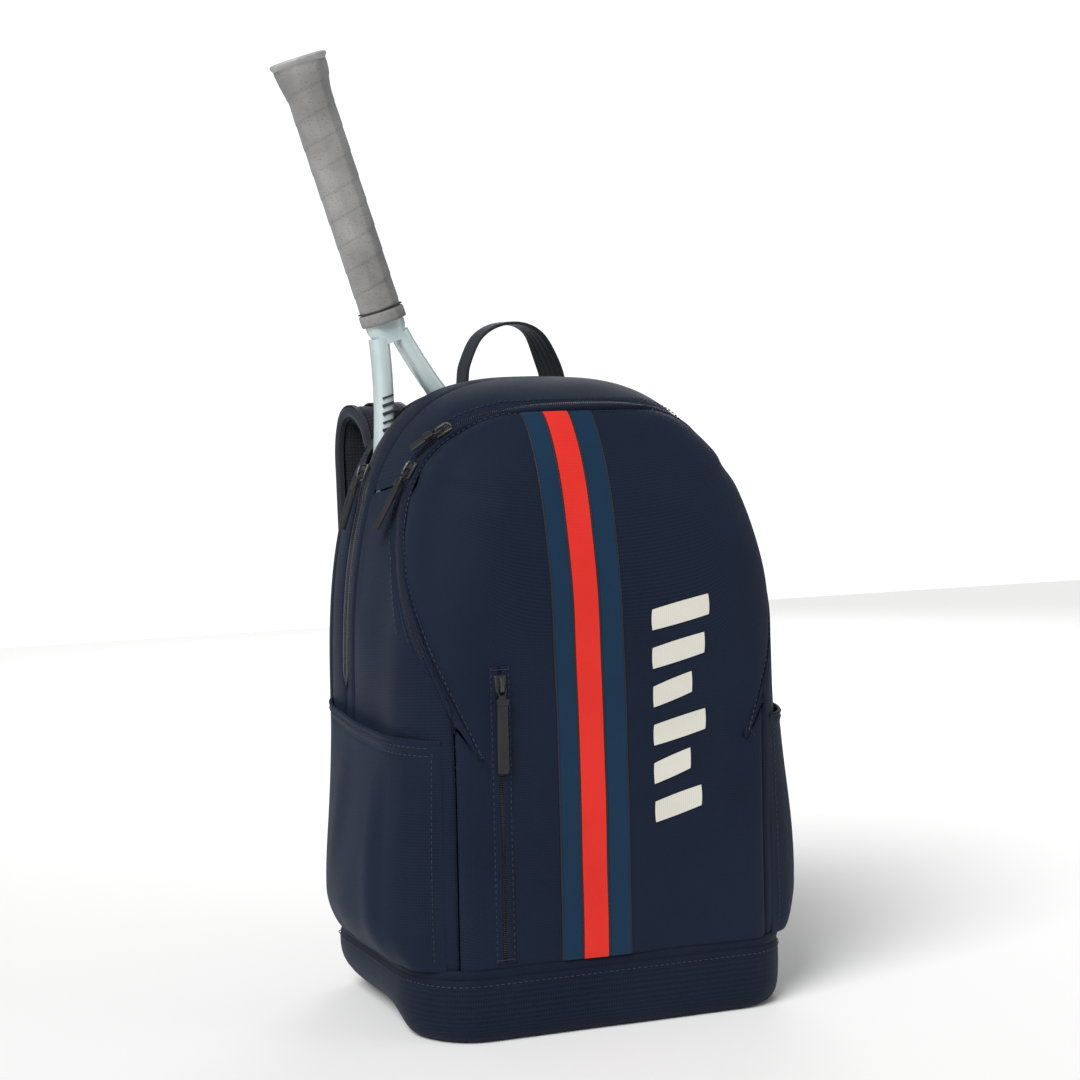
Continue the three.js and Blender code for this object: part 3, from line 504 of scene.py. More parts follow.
def close_tube(piece):
    """Welds the long edges of a wrapped cloth and closes its two ends."""
    only(piece)
    bpy.ops.object.mode_set(mode="EDIT")
    bpy.ops.mesh.select_all(action="SELECT")
    bpy.ops.mesh.remove_doubles(threshold=0.000002)
    bpy.ops.mesh.select_all(action="DESELECT")
    bpy.ops.mesh.select_mode(type="VERT")
    bpy.ops.mesh.select_non_manifold()
    bpy.ops.mesh.fill_holes(sides=0)
    bpy.ops.mesh.select_all(action="SELECT")
    bpy.ops.mesh.normals_make_consistent(inside=False)
    bpy.ops.object.mode_set(mode="OBJECT")


def smooth_step(value, low, high):
    t = min(max((value - low) / (high - low), 0.0), 1.0)
    return t * t * (3.0 - 2.0 * t)


def blend_value(a, b, t):
    return a + (b - a) * t


def curve_points(points, count):
    """Evenly spaced points on a smooth line through the given points (Catmull-Rom)."""
    spots = np.array(points, float)
    padded = np.vstack([2 * spots[0] - spots[1], spots, 2 * spots[-1] - spots[-2]])
    dense = []
    for i in range(len(spots) - 1):
        a, b, c, d = padded[i:i + 4]
        for t in np.linspace(0.0, 1.0, 24, endpoint=False):
            dense.append(0.5 * (2 * b + (c - a) * t + (2 * a - 5 * b + 4 * c - d) * t ** 2
                                + (3 * b - a - 3 * c + d) * t ** 3))
    dense.append(spots[-1])
    dense = np.array(dense)
    lengths = np.concatenate([[0.0], np.cumsum(np.linalg.norm(np.diff(dense, axis=0), axis=1))])
    wanted = np.linspace(0.0, lengths[-1], count)
    return np.stack([np.interp(wanted, lengths, dense[:, k]) for k in range(3)], axis=1)


def sweep(name, path, profile, wide_direction, scale=None, closed=False):
    """A closed outline of (wide, out) pairs carried along a path of points.

    wide_direction is one direction, or one for each point. scale(t) widens the outline along the path.
    """
    path = np.array(path, float)
    if closed:
        tangents = np.roll(path, -1, axis=0) - np.roll(path, 1, axis=0)
    else:
        tangents = np.gradient(path, axis=0)
    tangents /= np.linalg.norm(tangents, axis=1)[:, None]
    wide = np.broadcast_to(np.array(wide_direction, float), path.shape).copy()
    wide -= tangents * (wide * tangents).sum(axis=1)[:, None]
    wide /= np.linalg.norm(wide, axis=1)[:, None]
    out = np.cross(tangents, wide)
    outline = np.array(profile, float)
    last = len(path) if closed else len(path) - 1

    def place(u, v):
        row = int(round(v * last))
        corner = int(round(u * len(outline))) % len(outline)
        a, b = outline[corner]
        if scale is not None:
            grown = scale(row / last)
            a, b = a * grown[0], b * grown[1]
        row %= len(path)
        return path[row] + wide[row] * a + out[row] * b

    around = np.linalg.norm(np.diff(np.vstack([outline, outline[:1]]), axis=0), axis=1).sum()
    along = np.linalg.norm(np.diff(path, axis=0), axis=1).sum()
    piece = lay_cloth(name, len(outline), last, place, (around, along))
    close_tube(piece)
    return piece


def rounded_band(width, thick, corner_steps=3, across=6):
    """The outline of a flat band with rounded edges."""
    radius = thick / 2.0
    points = []
    for side, start in ((1, -90.0), (-1, 90.0)):
        for i in range(corner_steps + 1):
            turn = math.radians(start + 180.0 * i / corner_steps)
            points.append((side * (width / 2 - radius) + radius * math.cos(turn), radius * math.sin(turn)))
        for i in range(1, across):
            points.append((side * (width / 2 - radius) * (1 - 2 * i / across), side * radius))
    return points


def circle(radius, sides=10):
    turns = [2 * math.pi * i / sides for i in range(sides)]
    return [(radius * math.cos(a), radius * math.sin(a)) for a in turns]


def stitch_row(name, path, length=3.0 * mm, pitch=4.2 * mm, thread=0.45 * mm):
    """Thread stitches along a line: one stitch is modelled and copied down the line into one mesh."""
    path = np.array(path, float)
    steps = np.linalg.norm(np.diff(path, axis=0), axis=1)
    travelled = np.concatenate([[0.0], np.cumsum(steps)])
    count = max(int(travelled[-1] / pitch), 1)
    bpy.ops.object.select_all(action="DESELECT")
    bpy.ops.mesh.primitive_uv_sphere_add(segments=6, ring_count=4, radius=1.0)
    piece = bpy.context.object
    piece.name = name
    one = np.array([v.co for v in piece.data.vertices])
    one *= (thread, thread, length / 2.0)
    faces = [list(p.vertices) for p in piece.data.polygons]
    every, corners = [], []
    for i in range(count):
        middle = (i + 0.5) * travelled[-1] / count
        spot = np.array([np.interp(middle, travelled, path[:, k]) for k in range(3)])
        ahead = np.array([np.interp(middle + 0.0008, travelled, path[:, k]) for k in range(3)])
        behind = np.array([np.interp(middle - 0.0008, travelled, path[:, k]) for k in range(3)])
        run = (ahead - behind) / np.linalg.norm(ahead - behind)
        side = np.cross(run, (0.31, 0.53, 0.79))
        side /= np.linalg.norm(side)
        up = np.cross(run, side)
        corners += [[c + len(every) for c in face] for face in faces]
        every += list(spot + one[:, :1] * side + one[:, 1:2] * up + one[:, 2:] * run)
    old = piece.data
    piece.data = bpy.data.meshes.new(name)
    piece.data.from_pydata([tuple(p) for p in every], [], corners)
    bpy.data.meshes.remove(old)
    return dress(piece, "thread", None)


# ---------------------------------------------------------------- the body's surface, as in the CAD part
HALF_WIDTH = 141 * mm
HEIGHT = 446 * mm
FRONT = -105 * mm
BACK = 113 * mm
FOOT = 50.3 * mm
SPRING = 200 * mm
POWER = 2.9
ROUND_DEPTH = 59 * mm
ROUND_START = FRONT + ROUND_DEPTH
CREST = 20 * mm
BACK_ROUND = 60 * mm
DIVIDER = 35.8 * mm
REAR_EDGE = 103.0 * mm
CORNER = 0.5 ** (1.0 / POWER)

MAIN_SEAM = [
    (-100.5, 30), (-100.5, 210), (-98, 226), (-89, 252), (-68, 290), (-41, 333), (-30, 357),
    (-25, 380), (-28, 403), (-38, 418), (-54, 428), (-80, 437), (-120, 448),
]
RACKET_SEAM = [(54, 30), (54, 330), (57, 360), (64, 390), (71, 412), (76, 432), (78, 470)]


def clamp01(value):
    return min(max(value, 0.0), 1.0)


def front_round(y):
    u = clamp01((ROUND_START - y) / ROUND_DEPTH)
    return 1.0 - math.sqrt(1.0 - u * u)


def back_round(y):
    return clamp01((y - BACK_ROUND) / (BACK - BACK_ROUND)) ** 2


def half_width(y):
    return HALF_WIDTH - 42 * mm * front_round(y) - 8 * mm * back_round(y)


def arch_rise(y):
    fall = clamp01((CREST - y) / (CREST - FRONT - ROUND_DEPTH)) ** 2
    return HEIGHT - 17 * mm * fall - 150 * mm * front_round(y) - 10 * mm * back_round(y) - SPRING


def side_x(y, z):
    rise = clamp01((z - SPRING) / arch_rise(y))
    return half_width(y) * (1.0 - rise ** POWER) ** (1.0 / POWER)


def body_point(p, y):
    """A point of the body at depth y: p is 0 to 1 up the left, to 3 over the top, to 4 down the right."""
    half, rise = half_width(y), arch_rise(y)
    if 1.0 < p < 3.0:
        x = half * CORNER * (p - 2.0)
        return np.array((x, y, SPRING + rise * (1.0 - abs(x / half) ** POWER) ** (1.0 / POWER)))
    side = -1.0 if p <= 1.0 else 1.0
    climb = clamp01(p if p <= 1.0 else 4.0 - p)
    z = FOOT + climb * (SPRING + CORNER * rise - FOOT)
    share = clamp01((z - SPRING) / rise)
    return np.array((side * half * (1.0 - share ** POWER) ** (1.0 / POWER), y, z))


def body_normal(p, y):
    step = 0.0006
    low, high = max(p - 0.004, 0.0), min(p + 0.004, 4.0)
    ahead = body_point(high, y) - body_point(low, y)
    y_low = max(y - step, FRONT + 1e-5)
    across = body_point(p, y + step) - body_point(p, y_low)
    normal = np.cross(across, ahead)
    normal /= max(np.linalg.norm(normal), 1e-12)
    away = np.array((normal[0] * body_point(p, y)[0], 0.0, normal[2]))
    return normal if away[0] + away[2] * 0.1 >= 0.0 else -normal


def seam_line(seam):
    """The seam's depth at a height, as a smooth line through its corners."""
    points = curve_points([(y * mm, z * mm, 0.0) for y, z in seam], 400)
    return points[:, 0], points[:, 1]


MAIN_LINE = seam_line(MAIN_SEAM)
RACKET_LINE = seam_line(RACKET_SEAM)


def seam_depth(line, p):
    """Where the seam crosses the body at p: bisected along the depth."""
    low, high = FRONT + 1e-4, BACK
    for _ in range(40):
        middle = (low + high) / 2.0
        if middle < np.interp(body_point(p, middle)[2], line[1], line[0]):
            low = middle
        else:
            high = middle
    return low


class Seam:
    """A seam over the body: its depth at each p, and how much depth one unit square to it takes."""

    def __init__(self, line):
        self.ps = np.linspace(0.0, 4.0, 321)
        self.depths = np.array([seam_depth(line, p) for p in self.ps])
        spots = np.array([body_point(p, y) for p, y in zip(self.ps, self.depths)])
        runs = np.gradient(spots, axis=0)
        runs /= np.linalg.norm(runs, axis=1)[:, None]
        step = 0.0005
        gains = []
        for p, y, run in zip(self.ps, self.depths, runs):
            before = max(y - step, FRONT)
            rise = body_point(p, y + step) - body_point(p, before)
            slope = rise / (min(y + step, BACK) - before)
            beside = slope - run * slope.dot(run)
            gains.append(1.0 / max(np.linalg.norm(beside), 0.2))
        self.gains = np.array(gains)

    def depth(self, p, beside=0.0):
        return float(np.interp(p, self.ps, self.depths) + beside * np.interp(p, self.ps, self.gains))

    def point(self, p, beside=0.0, lift=0.0):
        y = self.depth(p, beside)
        return body_point(p, y) + body_normal(p, y) * lift

    def height(self, p):
        return self.point(p)[2]


main_seam = Seam(MAIN_LINE)
racket_seam = Seam(RACKET_LINE)

TAPE_HALF = 7.2 * mm


def main_gap(p):
    """Half the width left for the zip band: it narrows to a seam near the foot of the zip."""
    return 0.1 * mm + (TAPE_HALF - 0.1 * mm) * smooth_step(main_seam.height(p), 214 * mm, 252 * mm)


def racket_gap(p):
    return 0.1 * mm + (TAPE_HALF - 0.1 * mm) * smooth_step(racket_seam.height(p), 226 * mm, 240 * mm)


def crease(x, z, start, end, width, depth):
    """How far a straight crease from start to end, as (x, z), pushes the cloth in at a point."""
    a, b, spot = np.array(start), np.array(end), np.array((x, z))
    along = clamp01((spot - a).dot(b - a) / (b - a).dot(b - a))
    away = np.linalg.norm(spot - a - (b - a) * along)
    return depth * math.exp(-(away / width) ** 2) * math.sin(math.pi * (0.12 + 0.8 * along)) ** 0.5


DARTS = [
    ((-0.120, 0.379), (-0.080, 0.365)),
    ((0.107, 0.380), (0.067, 0.366)),
]


def cloth_swell(spot, edge):
    """How far the front cloth stands out: soft near its seams, dented by the two darts and slow waves."""
    x, _, z = spot
    puff = 1.5 * mm * (1.0 - math.exp(-edge / (7 * mm))) - 1.1 * mm * math.exp(-(edge / (2.4 * mm)) ** 2)
    waves = 0.8 * mm * math.sin(31.0 * x + 9.0 * z + 0.6) * math.sin(17.0 * z - 21.0 * x)
    waves += 0.45 * mm * math.sin(72.0 * z + 40.0 * x) * math.sin(36.0 * x - 12.0 * z)
    waves *= clamp01(edge / (25 * mm))
    dents = sum(
        crease(x, z, a, b, 5.5 * mm, 5.0 * mm) - crease(x, z, a, b, 14 * mm, 1.7 * mm) for a, b in DARTS
    )
    return puff + waves - dents


# ---------------------------------------------------------------- front panel
FLAT_SHARE = 0.6


def rim_depths(p):
    """Arc travel round the front edge: how far it is to the main seam and the depth at a travel."""
    radius = blend_value(50 * mm, 100 * mm, smooth_step(min(p, 4.0 - p), 0.3, 1.3))
    end = main_seam.depth(p, -main_gap(p))
    turn = math.acos(clamp01((ROUND_START - end) / ROUND_DEPTH)) if end < ROUND_START else math.pi / 2
    total = radius * turn + max(end - ROUND_START, 0.0)

    def depth(travel):
        angle = min(travel / radius, math.pi / 2)
        return ROUND_START - ROUND_DEPTH * math.cos(angle) + max(travel - radius * math.pi / 2, 0.0)

    return total, depth


RIM_CACHE = {}


def front_spot(a, b):
    """The front cloth at (a, b): a across from -1 to 1, b up from 0 to 1. Its edge turns back to the seam."""
    level = max(abs(a), b)
    if level < 1e-6:
        return np.array((0.0, FRONT, FOOT)), 1.0, (0.0, FOOT)
    p = b / level if a <= -level + 1e-9 else (4.0 - b / level if a >= level - 1e-9 else 2.0 + a / level)
    key = round(p, 6)
    if key not in RIM_CACHE:
        RIM_CACHE[key] = rim_depths(p)
    total, depth = RIM_CACHE[key]
    if level <= FLAT_SHARE:
        rim = body_point(p, FRONT)
        shrink = level / FLAT_SHARE
        spot = np.array((rim[0] * shrink, FRONT, FOOT + (rim[2] - FOOT) * shrink))
        return spot, total + 40 * mm * (1.0 - shrink), (spot[0], spot[2])
    travel = total * (level - FLAT_SHARE) / (1.0 - FLAT_SHARE)
    rim = body_point(p, FRONT)
    away = Vector((rim[0] / half_width(FRONT), max(rim[2] - SPRING, 0.0) / arch_rise(FRONT))).normalized()
    return body_point(p, depth(travel)), total - travel, (rim[0] + away.x * travel, rim[2] + away.y * travel)


def swell_outward(piece, amount_at):
    """Moves each point of an open cloth along its own normal by amount_at(index)."""
    mesh = piece.data
    moved = np.array([v.co + v.normal * amount_at(v.index) for v in mesh.vertices])
    mesh.vertices.foreach_set("co", moved.ravel())
    mesh.update()


def make_front_panel():
    edges, unrolled = [], []

    def place(u, v):
        spot, edge, flat = front_spot(2.0 * u - 1.0, v)
        edges.append(edge)
        unrolled.append(flat)
        return spot

    piece = lay_cloth("front_cloth", 88, 64, place, (0.36, 0.42))
    unroll(piece, unrolled)
    faces_away_from(piece, (0.0, 0.1, 0.2))
    mesh = piece.data
    swell_outward(piece, lambda i: cloth_swell(mesh.vertices[i].co, edges[i]))
    solidify(piece, 3.0 * mm)
    subdivide(piece)
    return dress(piece, "navy_cloth", "bag", "front_panel", "front_pocket_lining")


front_cloth = make_front_panel()


# ---------------------------------------------------------------- side panels, top and racket gussets
def edge_swell(distance):
    """A turned seam: the cloth dips into it and stands full beside it."""
    puff = 0.9 * mm * (1.0 - math.exp(-distance / (6 * mm)))
    return puff - 0.9 * mm * math.exp(-(distance / (2.0 * mm)) ** 2)


def shoulder_height(y):
    return (374.0 - 0.1636 * y / mm) * mm


def shoulder_p(y):
    """How far up the left side the slanting shoulder seam crosses at a depth."""
    return (shoulder_height(y) - FOOT) / (SPRING + CORNER * arch_rise(y) - FOOT)


def closer_at_ends(t, pull=0.55):
    """Even steps drawn closer to both ends, where a seam needs them."""
    return blend_value(t, 0.5 - 0.5 * math.cos(math.pi * t), pull)


def make_gusset(name, columns, rows, p_at, front_at, rear_at, finish, waves, *replaced):
    """A strip of the body between two depths: columns follow the arch, rows run from front to rear."""
    edges = []

    def place(u, v):
        v, along = closer_at_ends(v), closer_at_ends(u, 0.3)
        p = p_at(along, DIVIDER)
        for _ in range(5):
            y = blend_value(front_at(p), rear_at(p), v)
            p = p_at(along, y)
        width = rear_at(p) - front_at(p)
        length = abs(p_at(1.0, y) - p_at(0.0, y)) * 0.2
        edges.append((min(v, 1.0 - v) * width, min(along, 1.0 - along) * length))
        return body_point(p, y)

    piece = lay_cloth(name, columns, rows, place)
    faces_away_from(piece, (0.0, 0.03, 0.2))
    mesh = piece.data

    def swell(index):
        x, y, z = mesh.vertices[index].co
        side, end = edges[index]
        soft = waves * mm * math.sin(42.0 * z + 30.0 * y) * math.sin(25.0 * z - 60.0 * y + 9.0 * x)
        soft *= clamp01(side / (14 * mm))
        return edge_swell(min(side, end)) + soft

    swell_outward(piece, swell)
    solidify(piece, 2.4 * mm)
    subdivide(piece)
    return dress(piece, finish, "bag", *replaced)


def main_rear_edge(p):
    return main_seam.depth(p, main_gap(p))


def divider_edge(_):
    return DIVIDER


make_gusset(
    "side_cloth_left", 64, 22, lambda u, y: (shoulder_p(y) - 0.001) * u,
    main_rear_edge, divider_edge, "navy_gusset", 1.1, "side_panel_left",
)
make_gusset(
    "side_cloth_right", 64, 22, lambda u, y: 4.0 - (shoulder_p(y) - 0.001) * (1.0 - u),
    main_rear_edge, divider_edge, "navy_gusset", 1.1, "side_panel_right",
)
make_gusset(
    "top_cloth", 64, 18, lambda u, y: blend_value(shoulder_p(y) + 0.001, 4.0 - shoulder_p(y) - 0.001, u),
    main_rear_edge, divider_edge, "navy_cloth", 0.5, "top_gusset",
)

MOUTH_START = 0.975
MOUTH_END = 1.835
LIP_FRONT = 74.0 * mm
LIP_REAR = 100.2 * mm


def mouth_opening(p):
    """0 away from the mouth that the racket comes through, 1 in its middle."""
    opening = smooth_step(p, MOUTH_START - 0.05, MOUTH_START + 0.05)
    return opening * (1.0 - smooth_step(p, MOUTH_END - 0.05, MOUTH_END + 0.12))


def racket_front_edge(p):
    """The front half of the compartment ends at its zip, and at the mouth's front lip."""
    return racket_seam.depth(p, -racket_gap(p))


def racket_rear_edge(p):
    return blend_value(racket_seam.depth(p, racket_gap(p)), LIP_REAR + 1.6 * mm, mouth_opening(p))


def whole_arch(u, _):
    return blend_value(0.0, 4.0, u)


make_gusset(
    "racket_cloth_front", 150, 12, whole_arch, lambda p: DIVIDER + 0.4 * mm,
    racket_front_edge, "navy_gusset", 0.5, "racket_gusset_front", "divider",
)
make_gusset(
    "racket_cloth_rear", 190, 8, whole_arch, racket_rear_edge,
    lambda p: REAR_EDGE, "navy_gusset", 0.2, "racket_gusset_rear",
)


# ---------------------------------------------------------------- zips
# Across a zip band, in millimetres from its middle: how far each line stands out of the body.
BAND_LINES = [
    (-7.4, -1.6), (-6.9, 0.3), (-6.4, 1.35), (-5.7, 1.75), (-5.0, 1.35), (-4.5, 0.4), (-4.1, -0.35), (-3.7, 0.25),
    (-3.2, 0.75), (-2.3, 0.85), (-1.5, 0.8), (-0.9, 0.55), (-0.55, -0.5), (0.55, -0.5), (0.9, 0.55), (1.5, 0.8),
    (2.3, 0.85), (3.2, 0.7), (3.6, 0.1), (4.1, -0.15), (4.7, 0.45), (5.8, 0.6), (6.6, 0.2), (7.3, -1.6),
]
PLAIN_LINES = [
    (-7.3, -1.6), (-6.6, 0.1), (-5.8, 0.5), (-4.4, 0.55), (-3.2, 0.6), (-2.4, 0.45), (-1.9, -0.5), (1.9, -0.5),
    (2.4, 0.45), (3.2, 0.6), (4.4, 0.55), (5.8, 0.5), (6.6, 0.1), (7.3, -1.6),
]


def make_band(name, seam, gap_at, lines, steps, start, end, finish, *replaced):
    """A zip band along a seam from p = start to end, as wide as the gap left for it."""
    last = len(lines) - 1

    def place(u, v):
        p = blend_value(start, end, u)
        across, lift = lines[int(round(v * last))]
        share = gap_at(p) / TAPE_HALF
        return seam.point(p, across * mm * share, lift * mm * blend_value(0.5, 1.0, share))

    piece = lay_cloth(name, steps, last, place)
    faces_away_from(piece, (0.0, 0.03, 0.2))
    solidify(piece, 1.0 * mm)
    return dress(piece, finish, "bag", *replaced, angle=70.0)


def p_at_height(seam, height):
    """How far up the left side the seam reaches a height."""
    heights = [seam.height(p) for p in np.linspace(0.0, 1.0, 201)]
    return float(np.interp(height, heights, np.linspace(0.0, 1.0, 201)))


def repeat_along(name, one, path, normals, pitch):
    """Copies of one small piece down a path into one mesh: its Z runs along, its -Y looks outward."""
    path, normals = np.array(path, float), np.array(normals, float)
    travelled = np.concatenate([[0.0], np.cumsum(np.linalg.norm(np.diff(path, axis=0), axis=1))])
    corners = np.array([v.co for v in one.data.vertices])
    faces = [list(p.vertices) for p in one.data.polygons]
    every, rows = [], []
    for middle in np.arange(pitch / 2.0, travelled[-1], pitch):
        places = (middle, middle + 0.8 * mm, middle - 0.8 * mm)
        spot = [np.array([np.interp(m, travelled, path[:, k]) for k in range(3)]) for m in places]
        along = (spot[1] - spot[2]) / np.linalg.norm(spot[1] - spot[2])
        out = np.array([np.interp(middle, travelled, normals[:, k]) for k in range(3)])
        out -= along * out.dot(along)
        out /= np.linalg.norm(out)
        side = np.cross(-out, along)
        rows += [[c + len(every) for c in face] for face in faces]
        every += list(spot[0] + corners[:, :1] * side - corners[:, 1:2] * out + corners[:, 2:] * along)
    mesh = bpy.data.meshes.new(name)
    mesh.from_pydata([tuple(p) for p in every], [], rows)
    old = one.data
    one.data = mesh
    bpy.data.meshes.remove(old)
    one.name = name
    return one


def zip_tooth():
    """One turn of a zip coil: a small block with rounded ends."""
    bpy.ops.object.select_all(action="DESELECT")
    bpy.ops.mesh.primitive_cube_add(size=1.0, scale=(3.6 * mm, 1.1 * mm, 0.95 * mm))
    tooth = bpy.context.object
    bpy.ops.object.transform_apply(location=False, rotation=False, scale=True)
    finish_with(tooth, "BEVEL", width=0.35 * mm, segments=1)
    return tooth


def make_chain(name, seam, start, end, steps, *replaced, lift=0.35 * mm):
    ps = np.linspace(start, end, steps)
    path = [seam.point(p, 0.0, lift) for p in ps]
    chain = repeat_along(name, zip_tooth(), path, [body_normal(p, seam.depth(p)) for p in ps], 1.5 * mm)
    return dress(chain, "zip_coil", "bag", *replaced)


def seam_stitches(name, seam, start, end, beside, lift, steps=160):
    path = [seam.point(p, beside(p), lift) for p in np.linspace(start, end, steps)]
    stitches = stitch_row(name, path)
    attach(stitches, "bag")
    return stitches


main_start = p_at_height(main_seam, 212 * mm)
make_band(
    "main_zip_band", main_seam, main_gap, BAND_LINES, 260, main_start, 4.0 - main_start,
    "navy_gusset", "main_zip_tape",
)
chain_start = p_at_height(main_seam, 262 * mm)
make_chain("main_zip_coil", main_seam, chain_start, 4.0 - chain_start, 420, "main_zip_chain")
for line, beside in (("inner", 11.2 * mm), ("outer", -10.8 * mm)):
    seam_stitches(
        f"main_seam_stitches_{line}", main_seam, main_start + 0.06, 3.94 - main_start,
        lambda p, b=beside: b, 1.25 * mm,
    )

racket_start = p_at_height(racket_seam, 228 * mm)
make_band(
    "racket_zip_band_left", racket_seam, racket_gap, PLAIN_LINES, 90,
    racket_start, MOUTH_START - 0.03, "black_tape", "racket_zip_tape_left",
)
make_band(
    "racket_zip_band_right", racket_seam, racket_gap, PLAIN_LINES, 150,
    MOUTH_END + 0.09, 4.0 - racket_start, "black_tape", "racket_zip_tape_right",
)
teeth_start = p_at_height(racket_seam, 244 * mm)
make_chain(
    "racket_zip_coil_left", racket_seam, teeth_start, MOUTH_START - 0.03, 200,
    "racket_zip_chain_left", lift=0.0,
)
make_chain(
    "racket_zip_coil_right", racket_seam, MOUTH_END + 0.09, 4.0 - teeth_start, 260,
    "racket_zip_chain_right", lift=0.0,
)


class MouthLip:
    """The edge of the open racket zip, as a line over the body like a seam."""

    def __init__(self, side):
        self.side = side

    def depth(self, p, beside=0.0):
        open_at = LIP_FRONT - 1.5 * mm if self.side < 0 else LIP_REAR + 0.2 * mm
        return blend_value(racket_seam.depth(p), open_at, mouth_opening(p)) + beside

    def point(self, p, beside=0.0, lift=0.0):
        y = self.depth(p, beside)
        return body_point(p, y) + body_normal(p, y) * lift


def make_lip(name, side):
    """The half of the zip tape that stays along one side of the open mouth, with its teeth."""
    lip = MouthLip(side)
    outer = -racket_gap(1.4) if side < 0 else 0.0

    def place(u, v):
        p = blend_value(MOUTH_START - 0.03, MOUTH_END + 0.09, u)
        row = int(round(v * 5))
        if side < 0:
            far = racket_seam.depth(p, outer)
            near = lip.depth(p)
        else:
            near = lip.depth(p)
            far = blend_value(racket_seam.depth(p, racket_gap(p)), LIP_REAR + 1.8 * mm, mouth_opening(p))
        y = blend_value(far, near, row / 5.0)
        lift = (-1.4, 0.2, 0.5, 0.55, 0.4, -1.0)[row] * mm
        return body_point(p, y) + body_normal(p, y) * lift

    piece = lay_cloth(name, 70, 5, place)
    faces_away_from(piece, (0.0, 0.03, 0.2))
    solidify(piece, 1.0 * mm)
    return dress(piece, "black_tape", "bag")


make_lip("racket_mouth_lip_front", -1)
make_lip("racket_mouth_lip_rear", 1)


# ---------------------------------------------------------------- boot and base
def rounded_footprint(count, inset):
    """Even points round the foot with softened rear corners."""
    left = []
    rounded = FRONT + ROUND_DEPTH * (1 - np.cos(np.linspace(0, math.pi / 2, 22)))
    for y in np.concatenate([rounded, np.linspace(-40, 96, 22) * mm]):
        place = blend_value(FRONT + inset, BACK - inset, (y - FRONT) / (BACK - FRONT))
        left.append((half_width(y) - inset, place))
    corner = half_width(BACK) - inset
    for angle in np.linspace(0.15, math.pi / 2, 8):
        x = corner - 15 * mm * (1 - math.cos(angle))
        left.append((x, BACK - inset - 15 * mm * (1 - math.sin(angle))))
    left.append((0.0, BACK - inset))
    outline = [(0.0, FRONT + inset)] + left + [(-x, y) for x, y in reversed(left[:-1])]
    points = np.array([(x, y, 0.0) for x, y in outline] + [(0.0, FRONT + inset, 0.0)])
    lengths = np.concatenate([[0.0], np.cumsum(np.linalg.norm(np.diff(points, axis=0), axis=1))])
    wanted = np.linspace(0.0, lengths[-1], count + 1)[:-1]
    return np.stack([np.interp(wanted, lengths, points[:, k]) for k in range(2)], axis=1)


BOOT_LEVELS = [
    (13.0, 0.0), (9.0, 0.0), (5.0, 0.6), (1.8, 3.6), (0.2, 8.0), (-0.6, 14.0), (-1.0, 22.0), (-1.1, 32.0),
    (-0.9, 40.0), (-0.4, 43.4), (0.5, 44.3), (-0.4, 45.2), (-0.9, 47.2), (-0.8, 49.8), (-0.1, 51.2), (1.2, 51.8),
]


BOOT_TUCK = 24 * mm
BOOT_FULL = 30 * mm


def tucked(spot, height):
    """Draws a point of the foot in: the boot's sides tuck under the bag behind its front corners."""
    x, y = spot
    under = BOOT_TUCK * (1.0 - clamp01(height / BOOT_FULL)) ** 2 * smooth_step(y, -75 * mm, 15 * mm)
    return x * (1.0 - under / half_width(0.0)), y


def make_boot():
    """The boot's cloth from the underside up to its stitched hem, with a gathered front corner."""
    count = 168
    rings = [rounded_footprint(count, inset * mm) for inset, _ in BOOT_LEVELS]
    last = len(BOOT_LEVELS) - 1

    def place(u, v):
        level, spot = int(round(v * last)), int(round(u * count)) % count
        x, y = tucked(rings[level][spot], BOOT_LEVELS[level][1] * mm)
        sag = 0.5 * mm * math.sin(0.11 * spot) * math.sin(0.23 * spot + 1.0) * math.sin(math.pi * v)
        away = Vector((x, y, 0.0)).normalized() * sag
        return np.array((x + away.x, y + away.y, BOOT_LEVELS[level][1] * mm))

    piece = lay_cloth("boot_cloth", count, last, place)
    edit_all(piece, weld())
    lowest = open_edges(piece.data)
    select_by(piece, "EDGE", lambda e, mesh: e.key in lowest and mesh.vertices[e.vertices[0]].co.z < 0.1 * mm)
    bpy.ops.object.mode_set(mode="EDIT")
    bpy.ops.mesh.fill_grid(span=count // 6)
    bpy.ops.object.mode_set(mode="OBJECT")
    faces_away_from(piece, (0.0, 0.0, 30 * mm))
    solidify(piece, 2.6 * mm)
    subdivide(piece)
    for vertex in piece.data.vertices:
        vertex.co.z = max(vertex.co.z, 0.0)
    dress(piece, "boot_cloth", "bag", "boot")
    path = [(x, y, 40.2 * mm) for x, y in rounded_footprint(160, -1.25 * mm)]
    stitches = stitch_row("boot_hem_stitches", path + [path[0]])
    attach(stitches, "bag")


def open_edges(mesh):
    """The numbers of the edges that have one face only."""
    uses = {}
    for face in mesh.polygons:
        for key in face.edge_keys:
            uses[key] = uses.get(key, 0) + 1
    return {key for key, count in uses.items() if count == 1}


def select_by(piece, kind, wanted):
    """Selects the faces or edges that wanted(element, mesh) picks; nothing else stays selected."""
    only(piece)
    mesh = piece.data
    bpy.ops.object.mode_set(mode="EDIT")
    bpy.ops.mesh.select_mode(type=kind)
    bpy.ops.mesh.select_all(action="DESELECT")
    bpy.ops.object.mode_set(mode="OBJECT")
    elements = mesh.polygons if kind == "FACE" else mesh.edges
    for element in elements:
        element.select = wanted(element, mesh)


